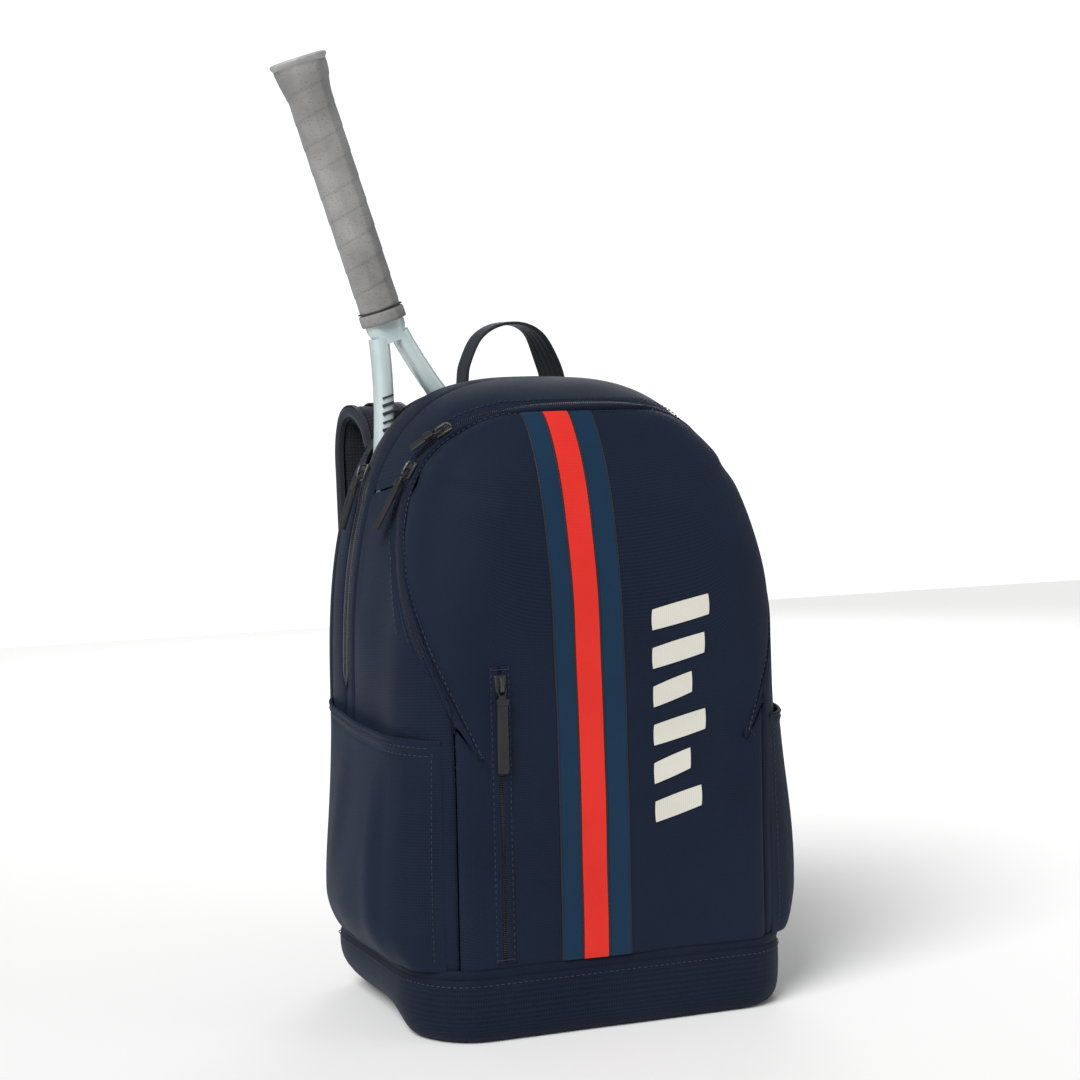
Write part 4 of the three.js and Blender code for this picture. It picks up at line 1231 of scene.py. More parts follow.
def plate(name, outline, low, high, bevel, finish, body, *replaced, inset=None):
    """A flat plate across Y: its outline of (x, z) points is filled, extruded and bevelled."""
    bpy.ops.object.select_all(action="DESELECT")
    bpy.ops.mesh.primitive_circle_add(vertices=len(outline), radius=1.0, fill_type="NOTHING")
    piece = bpy.context.object
    piece.name = name
    for vertex, (x, z) in zip(piece.data.vertices, outline):
        vertex.co = (x, high, z)
    bpy.ops.object.mode_set(mode="EDIT")
    bpy.ops.mesh.select_all(action="SELECT")
    bpy.ops.mesh.edge_face_add()
    if inset:
        bpy.ops.mesh.inset(thickness=inset)
    bpy.ops.mesh.select_all(action="SELECT")
    bpy.ops.mesh.extrude_region_move(TRANSFORM_OT_translate={"value": (0.0, low - high, 0.0)})
    bpy.ops.mesh.select_all(action="SELECT")
    bpy.ops.mesh.normals_make_consistent(inside=False)
    bpy.ops.object.mode_set(mode="OBJECT")
    finish_with(piece, "BEVEL", width=bevel, segments=3, limit_method="ANGLE", angle_limit=math.radians(50.0))
    give_flat_uv(piece)
    return dress(piece, finish, body, *replaced, angle=40.0)


def give_flat_uv(piece):
    """A UV map in metres: each face is laid flat by the way that it looks."""
    mesh = piece.data
    layer = mesh.uv_layers.active or mesh.uv_layers.new(name="UVMap")
    values = np.zeros((len(mesh.loops), 2))
    for face in mesh.polygons:
        n = [abs(c) for c in face.normal]
        axes = (0, 2) if n[1] >= max(n[0], n[2]) else ((1, 2) if n[0] >= n[2] else (0, 1))
        for loop in face.loop_indices:
            co = mesh.vertices[mesh.loops[loop].vertex_index].co
            values[loop] = (co[axes[0]], co[axes[1]])
    layer.data.foreach_set("uv", values.ravel())


def rounded_corners(corners, radius, steps=5):
    """An outline of (x, z) corners with each corner rounded."""
    outline = []
    count = len(corners)
    for i in range(count):
        before, here, after = (Vector(corners[(i + k) % count]) for k in (-1, 0, 1))
        a = here + (before - here).normalized() * radius
        b = here + (after - here).normalized() * radius
        for step in range(steps + 1):
            t = step / steps
            outline.append(tuple(a * (1 - t) ** 2 + here * 2 * t * (1 - t) + b * t ** 2))
    return outline


make_boot()
base_node = nodes["base_board"]
base_node.data.materials.clear()
base_node.data.materials.append(MATERIALS["base_board"])


# ---------------------------------------------------------------- back panel
def make_back_panel():
    """The flat back, soft at its edge, with piping round its rim."""
    def place(u, v):
        a, b = 2.0 * u - 1.0, v
        level = max(abs(a), b)
        if level < 1e-6:
            return np.array((0.0, BACK - 0.8 * mm, FOOT))
        p = b / level if a <= -level + 1e-9 else (4.0 - b / level if a >= level - 1e-9 else 2.0 + a / level)
        rim = body_point(p, REAR_EDGE + 4 * mm)
        shrink = min(level / 0.95, 1.0)
        fall = smooth_step(level, 0.93, 1.0)
        y = BACK - 0.4 * mm - 8.6 * mm * fall ** 2
        grow = 1.0 - 0.022 * (1.0 - fall)
        return np.array((rim[0] * shrink * grow, y, FOOT + (rim[2] - FOOT) * shrink * grow))

    piece = lay_cloth("back_cloth", 64, 56, place)
    faces_away_from(piece, (0.0, 0.0, 0.2))
    solidify(piece, 3.0 * mm)
    subdivide(piece)
    give_flat_uv(piece)
    dress(piece, "navy_cloth", "bag", "back_panel")
    rim = []
    for p in np.linspace(0.02, 3.98, 200):
        spot = body_point(p, REAR_EDGE + 1.4 * mm)
        rim.append(spot + body_normal(p, REAR_EDGE) * 0.4 * mm)
    piping = sweep("back_piping", rim, circle(1.9 * mm, 10), (0.0, 1.0, 0.0))
    dress(piping, "black_tape", "bag")


make_back_panel()


# ---------------------------------------------------------------- side pockets
POCKET_FRONT = -96 * mm
POCKET_REAR = 101 * mm
POCKET_LOW = 49.5 * mm


def pocket_top(along):
    """The pocket's top edge: lowest a little behind its front, dipping to the front corner."""
    return blend_value(205.5, 214.0, along) * mm - 1.6 * mm * math.sin(math.pi * along)


def pocket_spot(side, along, up, lift=0.0):
    """A point of the pocket cloth: it bulges over a bottle's room and gathers at the hem."""
    y = blend_value(POCKET_FRONT, POCKET_REAR, along)
    top = pocket_top(along)
    z = blend_value(POCKET_LOW, top, up)
    fore = math.sin(math.pi * along ** 0.85) ** 0.6 if 0.0 < along < 1.0 else 0.0
    belly = 0.15 + 0.85 * math.sin(math.pi / 2 * clamp01(up / 0.2)) ** 0.8
    gather = 1.0 - 0.62 * smooth_step(up, 0.22, 0.98)
    front_fold = 1.5 * mm * math.sin(math.pi * up) * math.exp(-((along - 0.10) / 0.035) ** 2)
    fold = 1.3 * mm * math.sin(math.pi * clamp01(up * 1.1)) * math.exp(-((along - 0.24 - 0.07 * up) / 0.05) ** 2)
    fold -= 1.1 * mm * math.sin(math.pi * up) * math.exp(-((along - 0.17 - 0.05 * up) / 0.03) ** 2)
    fold += 1.0 * mm * math.sin(math.pi * up) * math.exp(-((along - 0.72 + 0.1 * up) / 0.07) ** 2)
    pleat = 4.5 * mm * math.exp(-((along - 0.07) / 0.06) ** 2) * math.exp(-(up / 0.11) ** 2)
    wave = 0.5 * mm * math.sin(19.0 * along + 2.0 * side) * math.sin(6.0 * up + 1.0)
    hem = -0.7 * mm * math.exp(-((top - z - 9 * mm) / (1.3 * mm)) ** 2)
    hem += 0.5 * mm * smooth_step(z, top - 8 * mm, top - 5 * mm)
    swell = 22.5 * mm * fore * belly * gather + fold + front_fold + pleat + wave + hem
    edge = min(along, 1.0 - along)
    swell = swell * smooth_step(edge, -0.01, 0.05) + 0.9 * mm
    return np.array((side * (side_x(y, z) + swell + lift), y, z))


def make_side_pocket(side, word):
    def place(u, v):
        return pocket_spot(side, closer_at_ends(u, 0.6), closer_at_ends(v, 0.5))

    piece = lay_cloth(f"pocket_cloth_{word}", 60, 54, place)
    faces_away_from(piece, (0.0, 0.0, 0.13))
    solidify(piece, 1.8 * mm)
    subdivide(piece)
    dress(piece, "navy_cloth", "bag", f"side_pocket_{word}")
    rim = [pocket_spot(side, t, 1.0, -0.8 * mm) for t in np.linspace(0.004, 0.996, 70)]
    binding = sweep(f"pocket_binding_{word}", rim, rounded_band(3.0 * mm, 2.9 * mm, 3, 3), (0.0, 0.0, 1.0))
    dress(binding, "navy_gusset", "bag")
    for name, up in (("hem", 0.94), ("hem_upper", 0.975)):
        row = [pocket_spot(side, t, up, 0.15 * mm) for t in np.linspace(0.03, 0.97, 80)]
        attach(stitch_row(f"pocket_{name}_stitches_{word}", row), "bag")
    front = [pocket_spot(side, 0.022, t, 0.3 * mm) for t in np.linspace(0.04, 0.96, 60)]
    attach(stitch_row(f"pocket_edge_stitches_{word}", front), "bag")


for side, word in ((-1, "left"), (1, "right")):
    make_side_pocket(side, word)


# ---------------------------------------------------------------- stripe, mark and front pocket zip
def top_of_section(x, y):
    half = half_width(y)
    return SPRING + arch_rise(y) * (1.0 - min(abs(x) / half, 1.0) ** POWER) ** (1.0 / POWER)


def front_line(x, low, high, count=120):
    """The upright line at x over the front of the body, between two heights: points evenly apart."""
    spots = [(x, FRONT, z) for z in np.linspace(low, top_of_section(x, FRONT + 1e-5), 40)]
    for y in FRONT + ROUND_DEPTH * (1 - np.cos(np.linspace(0.02, math.pi / 2, 90))):
        spots.append((x, y, top_of_section(x, y)))
    for y in np.linspace(-45, -20, 20) * mm:
        spots.append((x, y, top_of_section(x, y)))
    spots = np.array([s for s in spots if s[2] <= high or s[1] <= FRONT])
    spots = spots[spots[:, 2] <= high]
    lengths = np.concatenate([[0.0], np.cumsum(np.linalg.norm(np.diff(spots, axis=0), axis=1))])
    wanted = np.linspace(0.0, lengths[-1], count)
    return np.stack([np.interp(wanted, lengths, spots[:, k]) for k in range(3)], axis=1)


def press_on(piece, target, lift):
    """Presses a flat cloth onto another piece, standing lift clear of it."""
    finish_with(
        piece, "SHRINKWRAP", target=target, wrap_method="NEAREST_SURFACEPOINT",
        wrap_mode="ABOVE_SURFACE", offset=lift,
    )


def make_stripe(name, left, right, lift, finish, replaced):
    """A sewn tape up the front. It leans a little to the left as it goes over the top."""
    def lean(z):
        return -4.5 * mm * smooth_step(z, 170 * mm, 420 * mm)

    def edge(x):
        line = front_line(x, 50.5 * mm, 424.5 * mm)
        return [front_line_point(x + lean(spot[2]), spot) for spot in line]

    sides = [edge(left), edge(right)]

    def place(u, v):
        row = v * 119.0
        low = int(min(row, 118))
        part = row - low
        a = sides[0][low] * (1 - part) + sides[0][low + 1] * part
        b = sides[1][low] * (1 - part) + sides[1][low + 1] * part
        return blend_value(a, b, u) + np.array((0.0, -3 * mm, 1 * mm))

    piece = lay_cloth(name, 6, 150, place)
    faces_away_from(piece, (0.0, 0.1, 0.1))
    press_on(piece, front_cloth, lift)
    solidify(piece, 0.5 * mm, 0.0)
    return dress(piece, finish, "bag", replaced)


def front_line_point(x, near):
    """The point of the body's front above or beside a near one, at x."""
    if near[1] <= FRONT + 1e-5:
        return np.array((x, FRONT, near[2]))
    return np.array((x, near[1], top_of_section(x, near[1])))


make_stripe("stripe_ground", -42.6 * mm, 8.6 * mm, 0.35 * mm, "black_tape", "stripe_blue_left")
make_stripe("stripe_tape_left", -41.4 * mm, -28.8 * mm, 0.8 * mm, "blue_tape", "stripe_blue_left")
make_stripe("stripe_tape_right", -7.2 * mm, 7.4 * mm, 0.8 * mm, "blue_tape", "stripe_blue_right")
make_stripe("stripe_tape_middle", -26.8 * mm, -9.2 * mm, 0.95 * mm, "red_tape", "stripe_red")


def make_mark_bar(index):
    """One slanting bar of the printed mark."""
    low = (140 + 26.5 * index) * mm
    width = (36, 28, 40, 30, 40, 44)[index] * mm
    left = 28 * mm

    def place(u, v):
        a, b = 2 * u - 1, 2 * v - 1
        a, b = a * math.sqrt(1 - 0.05 * b * b), b * math.sqrt(1 - 0.10 * a * a)
        x = left + width * (a + 1) / 2
        return np.array((x, FRONT - 3 * mm, low + 9 * mm * (x - left) / width + 15 * mm * (b + 1) / 2))

    piece = lay_cloth(f"mark_print_{index + 1}", 14, 8, place)
    faces_away_from(piece, (0.0, 0.1, 0.2))
    press_on(piece, front_cloth, 0.45 * mm)
    solidify(piece, 0.35 * mm, 0.0)
    return dress(piece, "cream_print", "bag", f"mark_bar_{index + 1}")


for index in range(6):
    make_mark_bar(index)

POCKET_ZIP_X = -84 * mm
WELT_LINES = [
    (-7.6, 0.0), (-7.0, 0.55), (-5.4, 0.9), (-4.0, 1.5), (-2.6, 1.75), (-1.5, 1.4), (-1.0, 0.5), (-0.9, 0.1),
    (0.9, 0.1), (1.0, 0.5), (1.5, 1.4), (2.6, 1.75), (4.0, 1.5), (5.4, 0.9), (7.0, 0.55), (7.6, 0.0),
]


def make_pocket_zip():
    """Two folded welts with the coil between them, and a bar tack over each end."""
    last = len(WELT_LINES) - 1
    low, high = 54.5 * mm, 256 * mm

    def place(u, v):
        across, lift = WELT_LINES[int(round(v * last))]
        z = blend_value(low, high, u)
        low_end = smooth_step(z, low - 1 * mm, low + 5 * mm)
        pinch = min(low_end, 1.0 - smooth_step(z, high - 5 * mm, high + 1 * mm))
        lift = blend_value(0.5, lift, pinch)
        wander = 0.25 * mm * math.sin(60.0 * z)
        return np.array((POCKET_ZIP_X + across * mm + wander, FRONT - 1.35 * mm - lift * mm, z))

    welts = lay_cloth("pocket_zip_welts", 110, last, place)
    faces_away_from(welts, (POCKET_ZIP_X, 0.0, 0.15))
    solidify(welts, 1.4 * mm)
    dress(welts, "navy_gusset", "bag", "pocket_zip_tape", angle=70.0)
    zs = np.linspace(low + 4 * mm, high - 6 * mm, 60)
    path = [(POCKET_ZIP_X, FRONT - 2.0 * mm, z) for z in zs]
    chain = repeat_along("pocket_zip_coil", zip_tooth(), path, [(0.0, -1.0, 0.0)] * len(path), 1.5 * mm)
    dress(chain, "zip_coil", "bag", "pocket_zip_chain")
    for word, beside in (("left", -6.2), ("right", 6.2)):
        row = [(POCKET_ZIP_X + beside * mm, FRONT - 2.25 * mm, z) for z in np.linspace(low, high, 60)]
        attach(stitch_row(f"pocket_zip_stitches_{word}", row), "bag")
    for word, z in (("low", low + 2.5 * mm), ("high", high - 2.5 * mm)):
        row = [(POCKET_ZIP_X + x * mm, FRONT - 2.6 * mm, z) for x in np.linspace(-5, 5, 20)]
        tack = stitch_row(f"pocket_zip_tack_{word}", row, length=3.2 * mm, pitch=1.1 * mm, thread=0.4 * mm)
        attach(tack, "bag")


make_pocket_zip()


# ---------------------------------------------------------------- zip sliders and pulls
# Each is made once in its own axes, +Z up the zip and -Y out of the cloth, then set on its seam.
def joined(*pieces):
    """Joins pieces into the first one."""
    bpy.ops.object.select_all(action="DESELECT")
    for piece in pieces:
        piece.select_set(True)
    bpy.context.view_layer.objects.active = pieces[0]
    bpy.ops.object.join()
    return pieces[0]


def rounded_block(name, low, high, bevel, taper=1.0):
    """A block between two corners (mm): its outer face is drawn in by taper and its edges are bevelled."""
    bpy.ops.object.select_all(action="DESELECT")
    size = [(b - a) * mm for a, b in zip(low, high)]
    middle = [(b + a) / 2.0 * mm for a, b in zip(low, high)]
    bpy.ops.mesh.primitive_cube_add(size=1.0, location=middle, scale=size)
    piece = bpy.context.object
    piece.name = name
    bpy.ops.object.transform_apply(location=True, rotation=False, scale=True)
    for vertex in piece.data.vertices:
        if vertex.co.y < middle[1]:
            vertex.co.x = middle[0] + (vertex.co.x - middle[0]) * taper
            vertex.co.z = middle[2] + (vertex.co.z - middle[2]) * taper
    finish_with(piece, "BEVEL", width=bevel * mm, segments=3, limit_method="NONE")
    return piece


def slider_shape():
    """Two plates that pinch towards the closed end, with a bridge over them."""
    upper = rounded_block("slider", (-4.6, -3.6, -6.4), (4.6, -1.7, 6.4), 0.7, 0.86)
    for vertex in upper.data.vertices:
        if vertex.co.z < -1 * mm:
            vertex.co.x *= 1.0 - 0.30 * clamp01((-vertex.co.z - 1 * mm) / (5.4 * mm))
    arch = curve_points([
        (0, -3.2, -5.4), (0, -5.6, -5.2), (0, -7.3, -3.4), (0, -7.5, 0),
        (0, -7.2, 3.2), (0, -5.2, 4.8), (0, -3.2, 5.0),
    ], 22) * mm
    bridge = sweep("slider_bridge", arch, rounded_band(2.8 * mm, 1.3 * mm, 2, 2), (1.0, 0.0, 0.0))
    return joined(upper, bridge)


def pull_shape(length):
    """A metal ring over the bridge, and a moulded tab with a collar and ribs."""
    turns = np.linspace(0.0, 2 * math.pi, 25)[:-1]
    loop = [(2.9 * math.sin(a), -5.6 - 0.7 * math.cos(a), -4.0 - 4.4 * math.cos(a)) for a in turns]
    ring = sweep("pull", np.array(loop) * mm, circle(0.62 * mm, 8), (0.0, 1.0, 0.2), closed=True)
    neck = curve_points([
        (0, -6.4, -7.2), (0, -6.2, -10), (0, -5.6, -length * 0.5), (0, -5.2, -length + 1), (0, -5.1, -length),
    ], 40) * mm

    def widen(t):
        shoulder = smooth_step(t, 0.0, 0.09)
        foot = 1.0 - 0.5 * smooth_step(t, 0.96, 1.0)
        ribs = 0.07 * math.sin(2 * math.pi * t * 9) if 0.55 < t < 0.93 else 0.0
        return (blend_value(0.62, 1.0 + 0.14 * t, shoulder) * foot, (1.0 + ribs) * foot)

    tab = sweep("pull_tab", neck, rounded_band(7.6 * mm, 2.7 * mm, 3, 3), (1.0, 0.0, 0.0), scale=widen)
    collar = rounded_block("pull_collar", (-4.2, -8.1, -14.2), (4.2, -4.4, -9.6), 0.8)
    return joined(ring, tab, collar)


def set_on_seam(piece, place, across, inward, up):
    """Puts a piece made at the origin onto its seam: its own axes are turned to across, inward and up."""
    turn = Matrix((across, inward, up)).transposed().to_4x4()
    turn.translation = place
    piece.data.transform(turn)
    give_flat_uv(piece)
    return piece


# Each slider: its name and the length of its pull, in millimetres.
SLIDERS = (("main_upper", 26), ("main_lower", 46), ("racket_zip", 46), ("pocket_zip", 58))
PULL_PIVOT = Vector((0.0, -5.4, 0.0)) * mm


def slider_place(name):
    """Where a slider stands and its three axes, from the joints that it slides and swings on."""
    joints = {joint["name"]: joint for joint in frame["joints"]}
    swing = joints[f"{name}_pull_swing"]
    up = Vector(joints[f"{name}_slide"]["axis"])
    across = -Vector(swing["axis"])
    inward = up.cross(across)
    turn = Matrix((across, inward, up)).transposed()
    return Vector(swing["pos_m"]) - turn @ PULL_PIVOT, across, inward, up


for name, length in SLIDERS:
    place, across, inward, up = slider_place(name)
    slider = set_on_seam(slider_shape(), place, across, inward, up)
    slider.name = f"{name}_slider_body"
    dress(slider, "slider_metal", f"{name}_slider", f"{name}_slider", angle=35.0)
    pull = set_on_seam(pull_shape(length), place, across, inward, up)
    pull.name = f"{name}_pull_tab"
    dress(pull, "pull_rubber", f"{name}_pull", f"{name}_pull", angle=35.0)


# ---------------------------------------------------------------- haul loop
def make_haul_loop():
    """A webbing loop: its left leg stands edge on, and it twists to lie flatter down its right leg."""
    points = [
        (-37, 0, -7), (-36.5, 0, 2), (-34.5, 0, 14), (-25, 0, 33), (-10, 0, 42.5),
        (8, 0, 43.5), (22, 0, 35), (32, 0, 15), (36.5, 0, 1), (37, 0, -7),
    ]
    path = curve_points([(x + 11, y + 110, z + 443) for x, y, z in points], 70) * mm
    turns = [math.radians(blend_value(4.0, 52.0, smooth_step(t, 0.45, 0.95))) for t in np.linspace(0, 1, 70)]
    wide = [(-math.sin(a), math.cos(a), 0.0) for a in turns]
    loop = sweep("haul_webbing", path, rounded_band(20 * mm, 2.4 * mm, 3, 6), wide)
    dress(loop, "black_webbing", None, "haul_loop")
    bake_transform(loop)
    for word, x in (("left", -26), ("right", 48)):
        foot = rounded_block(f"haul_foot_{word}", (x - 4, 101, 431.5), (x + 4, 112.6, 438.8), 1.6)
        give_flat_uv(foot)
        dress(foot, "black_webbing", "bag")


make_haul_loop()


# ---------------------------------------------------------------- cloth by simulation
def stuff_with_cloth(piece, voxel, cap, pressure=4.0):
    """Remeshes a pad, lets cloth pressure fill it, and caps how far any point has moved."""
    finish_with(piece, "REMESH", mode="VOXEL", voxel_size=voxel)
    before = np.zeros(len(piece.data.vertices) * 3)
    piece.data.vertices.foreach_get("co", before)
    only(piece)
    cloth = piece.modifiers.new("stuffing", "CLOTH")
    cloth.settings.use_pressure = True
    cloth.settings.uniform_pressure_force = pressure
    cloth.settings.effector_weights.gravity = 0.0
    cloth.settings.quality = 5
    for number in range(1, 21):
        scene.frame_set(number)
    bpy.ops.object.modifier_apply(modifier=cloth.name)
    scene.frame_set(1)
    after = np.zeros(len(piece.data.vertices) * 3)
    piece.data.vertices.foreach_get("co", after)
    move = (after - before).reshape(-1, 3)
    far = np.linalg.norm(move, axis=1)
    share = np.minimum(1.0, cap / np.maximum(far, 1e-9))
    piece.data.vertices.foreach_set("co", (before.reshape(-1, 3) + move * share[:, None]).ravel())
    piece.data.update()


# ---------------------------------------------------------------- shoulder straps
STRAP_WIDTH = 60 * mm


def strap_line(side, count):
    return curve_points([
        (side * 70, 121.5, 397), (side * 72, 129, 414), (side * 75, 145, 423), (side * 78, 160, 417),
        (side * 80, 164, 396), (side * 81, 160, 366), (side * 84, 148, 310), (side * 88, 139, 255),
        (side * 92, 135.5, 205), (side * 96, 135.5, 160),
    ], count) * mm


def strap_half(t):
    return (STRAP_WIDTH - 22 * mm * clamp01((t - 0.72) / 0.28) ** 1.4) / 2.0


def outward_of(path):
    """The strap's outward direction at each point: square to the line and to X."""
    run = np.gradient(path, axis=0)
    out = np.cross(run, (1.0, 0.0, 0.0))
    out /= np.linalg.norm(out, axis=1)[:, None]
    return out * np.sign(out[len(out) // 2][1])


def sewn_channels(piece, lines, width, depth):
    """Presses sewn channels into a stuffed pad: lines are (point, direction) pairs in the frame."""
    mesh = piece.data
    spots = np.zeros(len(mesh.vertices) * 3)
    mesh.vertices.foreach_get("co", spots)
    spots = spots.reshape(-1, 3)
    normals = np.array([v.normal for v in mesh.vertices])
    for spot, direction in lines:
        away = (spots - np.array(spot)) @ (np.array(direction) / np.linalg.norm(direction))
        spots -= normals * (depth * np.exp(-(away / width) ** 2))[:, None]
    mesh.vertices.foreach_set("co", spots.ravel())
    mesh.update()


def make_strap(side, word):
    path = strap_line(side, 90)
    count = len(path) - 1

    def taper(t):
        return (strap_half(t) / strap_half(0.0), 1.0)

    outline = rounded_band(STRAP_WIDTH - 6 * mm, 9.0 * mm, 4, 10)
    pad = sweep(f"strap_pad_{word}", path, outline, (1.0, 0.0, 0.0), scale=taper)
    stuff_with_cloth(pad, 4.5 * mm, 1.2 * mm)
    run = np.gradient(path, axis=0)
    sewn_channels(pad, [(path[i], run[i]) for i in (20, 40, 60)], 2.0 * mm, 0.9 * mm)
    subdivide(pad)
    pad_uv(pad, path)
    dress(pad, "black_mesh", f"strap_{word}", f"shoulder_strap_{word}", angle=80.0)
    out = outward_of(path)
    for edge_word, edge in (("inner", -1.0), ("outer", 1.0)):
        across = [edge * (strap_half(i / count) - 3.2 * mm) for i in range(count + 1)]
        rim = [spot + np.array((x, 0.0, 0.0)) for spot, x in zip(path, across)]
        outline = rounded_band(7.0 * mm, 10.4 * mm, 4, 4)
        binding = sweep(f"strap_binding_{word}_{edge_word}", rim, outline, (1.0, 0.0, 0.0))
        dress(binding, "black_tape", f"strap_{word}")
    face = path + out * 5.7 * mm
    daisy = sweep(f"strap_webbing_{word}", face[7:84], rounded_band(25 * mm, 1.7 * mm, 2, 4), (1.0, 0.0, 0.0))
    dress(daisy, "black_webbing", f"strap_{word}")
    for at in (14, 26, 38, 50, 62, 76):
        middle = face[at] + out[at] * 0.95 * mm
        row = [middle + np.array((x * mm, 0.0, 0.0)) for x in np.linspace(-11, 11, 16)]
        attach(stitch_row(f"strap_tack_{word}_{at}", row, pitch=3.4 * mm, length=2.6 * mm), f"strap_{word}")


def pad_uv(piece, path):
    """A pad's own UV map in metres: along the strap's line and across it."""
    mesh = piece.data
    if not mesh.uv_layers:
        mesh.uv_layers.new(name="UVMap")
    travelled = np.concatenate([[0.0], np.cumsum(np.linalg.norm(np.diff(path, axis=0), axis=1))])
    spots = np.array([v.co for v in mesh.vertices])
    nearest = np.argmin(((spots[:, None, 1:] - path[None, :, 1:]) ** 2).sum(axis=2), axis=1)
    run = np.gradient(path, axis=0)
    run /= np.linalg.norm(run, axis=1)[:, None]
    beyond = ((spots - path[nearest]) * run[nearest]).sum(axis=1)
    unroll(piece, np.stack([spots[:, 0], travelled[nearest] + beyond], axis=1))


for side, word in ((-1, "left"), (1, "right")):
    make_strap(side, word)


# ---------------------------------------------------------------- tails, buckles, lower webs, wings
def make_strap_end(side, word):
    """The buckle on its short web, and the lower web that runs through it and hangs free."""
    x = side * 96
    tail_path = curve_points([
        (x, 135.4, 152), (x, 134.0, 142), (x, 131.6, 131), (x, 129.6, 124.4), (x, 128.4, 122.6),
    ], 26) * mm
    tail = sweep(f"buckle_web_{word}", tail_path, rounded_band(25 * mm, 1.9 * mm, 2, 4), (1.0, 0.0, 0.0))
    dress(tail, "black_webbing", f"strap_{word}", f"strap_tail_{word}")
    bars = []
    for z, thick, high in ((125.2, 4.2, 3.0), (113.0, 4.8, 4.4), (100.9, 4.2, 3.0)):
        run = [(x + a, 129.5 + (1.2 if z < 105 else 0.0), z) for a in np.linspace(-15.5, 15.5, 14)]
        outline = rounded_band(high * mm, thick * 0.8 * mm, 3, 2)
        bars.append(sweep("buckle_bar", np.array(run) * mm, outline, (0.0, 0.0, 1.0)))
    for edge in (-1, 1):
        run = curve_points([
            (x + edge * 15.6, 129.5, 126.2), (x + edge * 16.2, 129.5, 113), (x + edge * 15.6, 130.4, 99.6),
        ], 20) * mm
        bars.append(sweep("buckle_side", run, rounded_band(3.4 * mm, 4.4 * mm, 3, 2), (1.0, 0.0, 0.0)))
    buckle = joined(*bars)
    buckle.name = f"ladder_lock_{word}"
    give_flat_uv(buckle)
    dress(buckle, "buckle_plastic", f"strap_{word}", f"ladder_buckle_{word}", angle=40.0)
    lower = curve_points([
        (side * 108, 118.2, 60), (side * 106.5, 119.2, 70), (side * 103, 121.0, 84), (side * 98.5, 123.6, 99),
        (x, 125.0, 108), (x, 125.6, 116), (x, 127.4, 119.4), (x, 129.6, 119.6),
    ], 60) * mm
    web = sweep(f"lower_webbing_{word}", lower, rounded_band(25 * mm, 1.7 * mm, 2, 4), (1.0, 0.0, 0.0))
    dress(web, "black_webbing", None, f"lower_web_{word}")
    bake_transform(web)
    free = curve_points([
        (x, 129.4, 119.7), (x, 132.4, 118.8), (x, 133.4, 113), (x, 133.6, 104), (x + side * 0.5, 134.4, 92),
        (x + side * 1.5, 136.4, 74), (x + side * 2.5, 137.6, 58), (x + side * 2.5, 137.2, 54),
        (x + side * 2.5, 136.0, 55.5), (x + side * 2.5, 136.2, 66),
    ], 70) * mm
    end = sweep(f"free_webbing_{word}", free, rounded_band(24 * mm, 1.6 * mm, 2, 4), (1.0, 0.0, 0.0))
    dress(end, "black_webbing", f"strap_{word}")
    outline = rounded_corners([(side * 130, 51.5), (side * 84, 51.5), (side * 92, 70), (side * 124, 84)], 5.0)
    if side > 0:
        outline = outline[::-1]
    outline = [(a * mm, b * mm) for a, b in outline]
    plate(
        f"wing_cloth_{word}", outline, 113.2 * mm, 116.4 * mm, 1.1 * mm,
        "navy_gusset", "bag", f"anchor_wing_{word}",
    )
    seam = [(a * 0.94 + side * 0.0064, 116.6 * mm, b * 0.9 + 0.0066) for a, b in outline]
    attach(stitch_row(f"wing_stitches_{word}", seam + [seam[0]]), "bag")


for side, word in ((-1, "left"), (1, "right")):
    make_strap_end(side, word)


# ---------------------------------------------------------------- yoke and back pads
def make_yoke():
    outline = rounded_corners([(-105, 344), (105, 344), (105, 388), (-105, 388)], 8.0)
    outline = [(a * mm, b * mm) for a, b in outline]
    plate("yoke_cloth", outline, 113.2 * mm, 115.4 * mm, 0.8 * mm, "black_webbing", "bag", "strap_yoke")
    for word, inset in (("outer", 3.0), ("inner", 6.0)):
        left, right, low, high = -105 + inset, 105 - inset, 344 + inset, 388 - inset
        ring = rounded_corners([(left, low), (right, low), (right, high), (left, high)], 6.0)
        row = [(a * mm, 115.6 * mm, b * mm) for a, b in ring]
        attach(stitch_row(f"yoke_stitches_{word}", row + [row[0]]), "bag")


make_yoke()


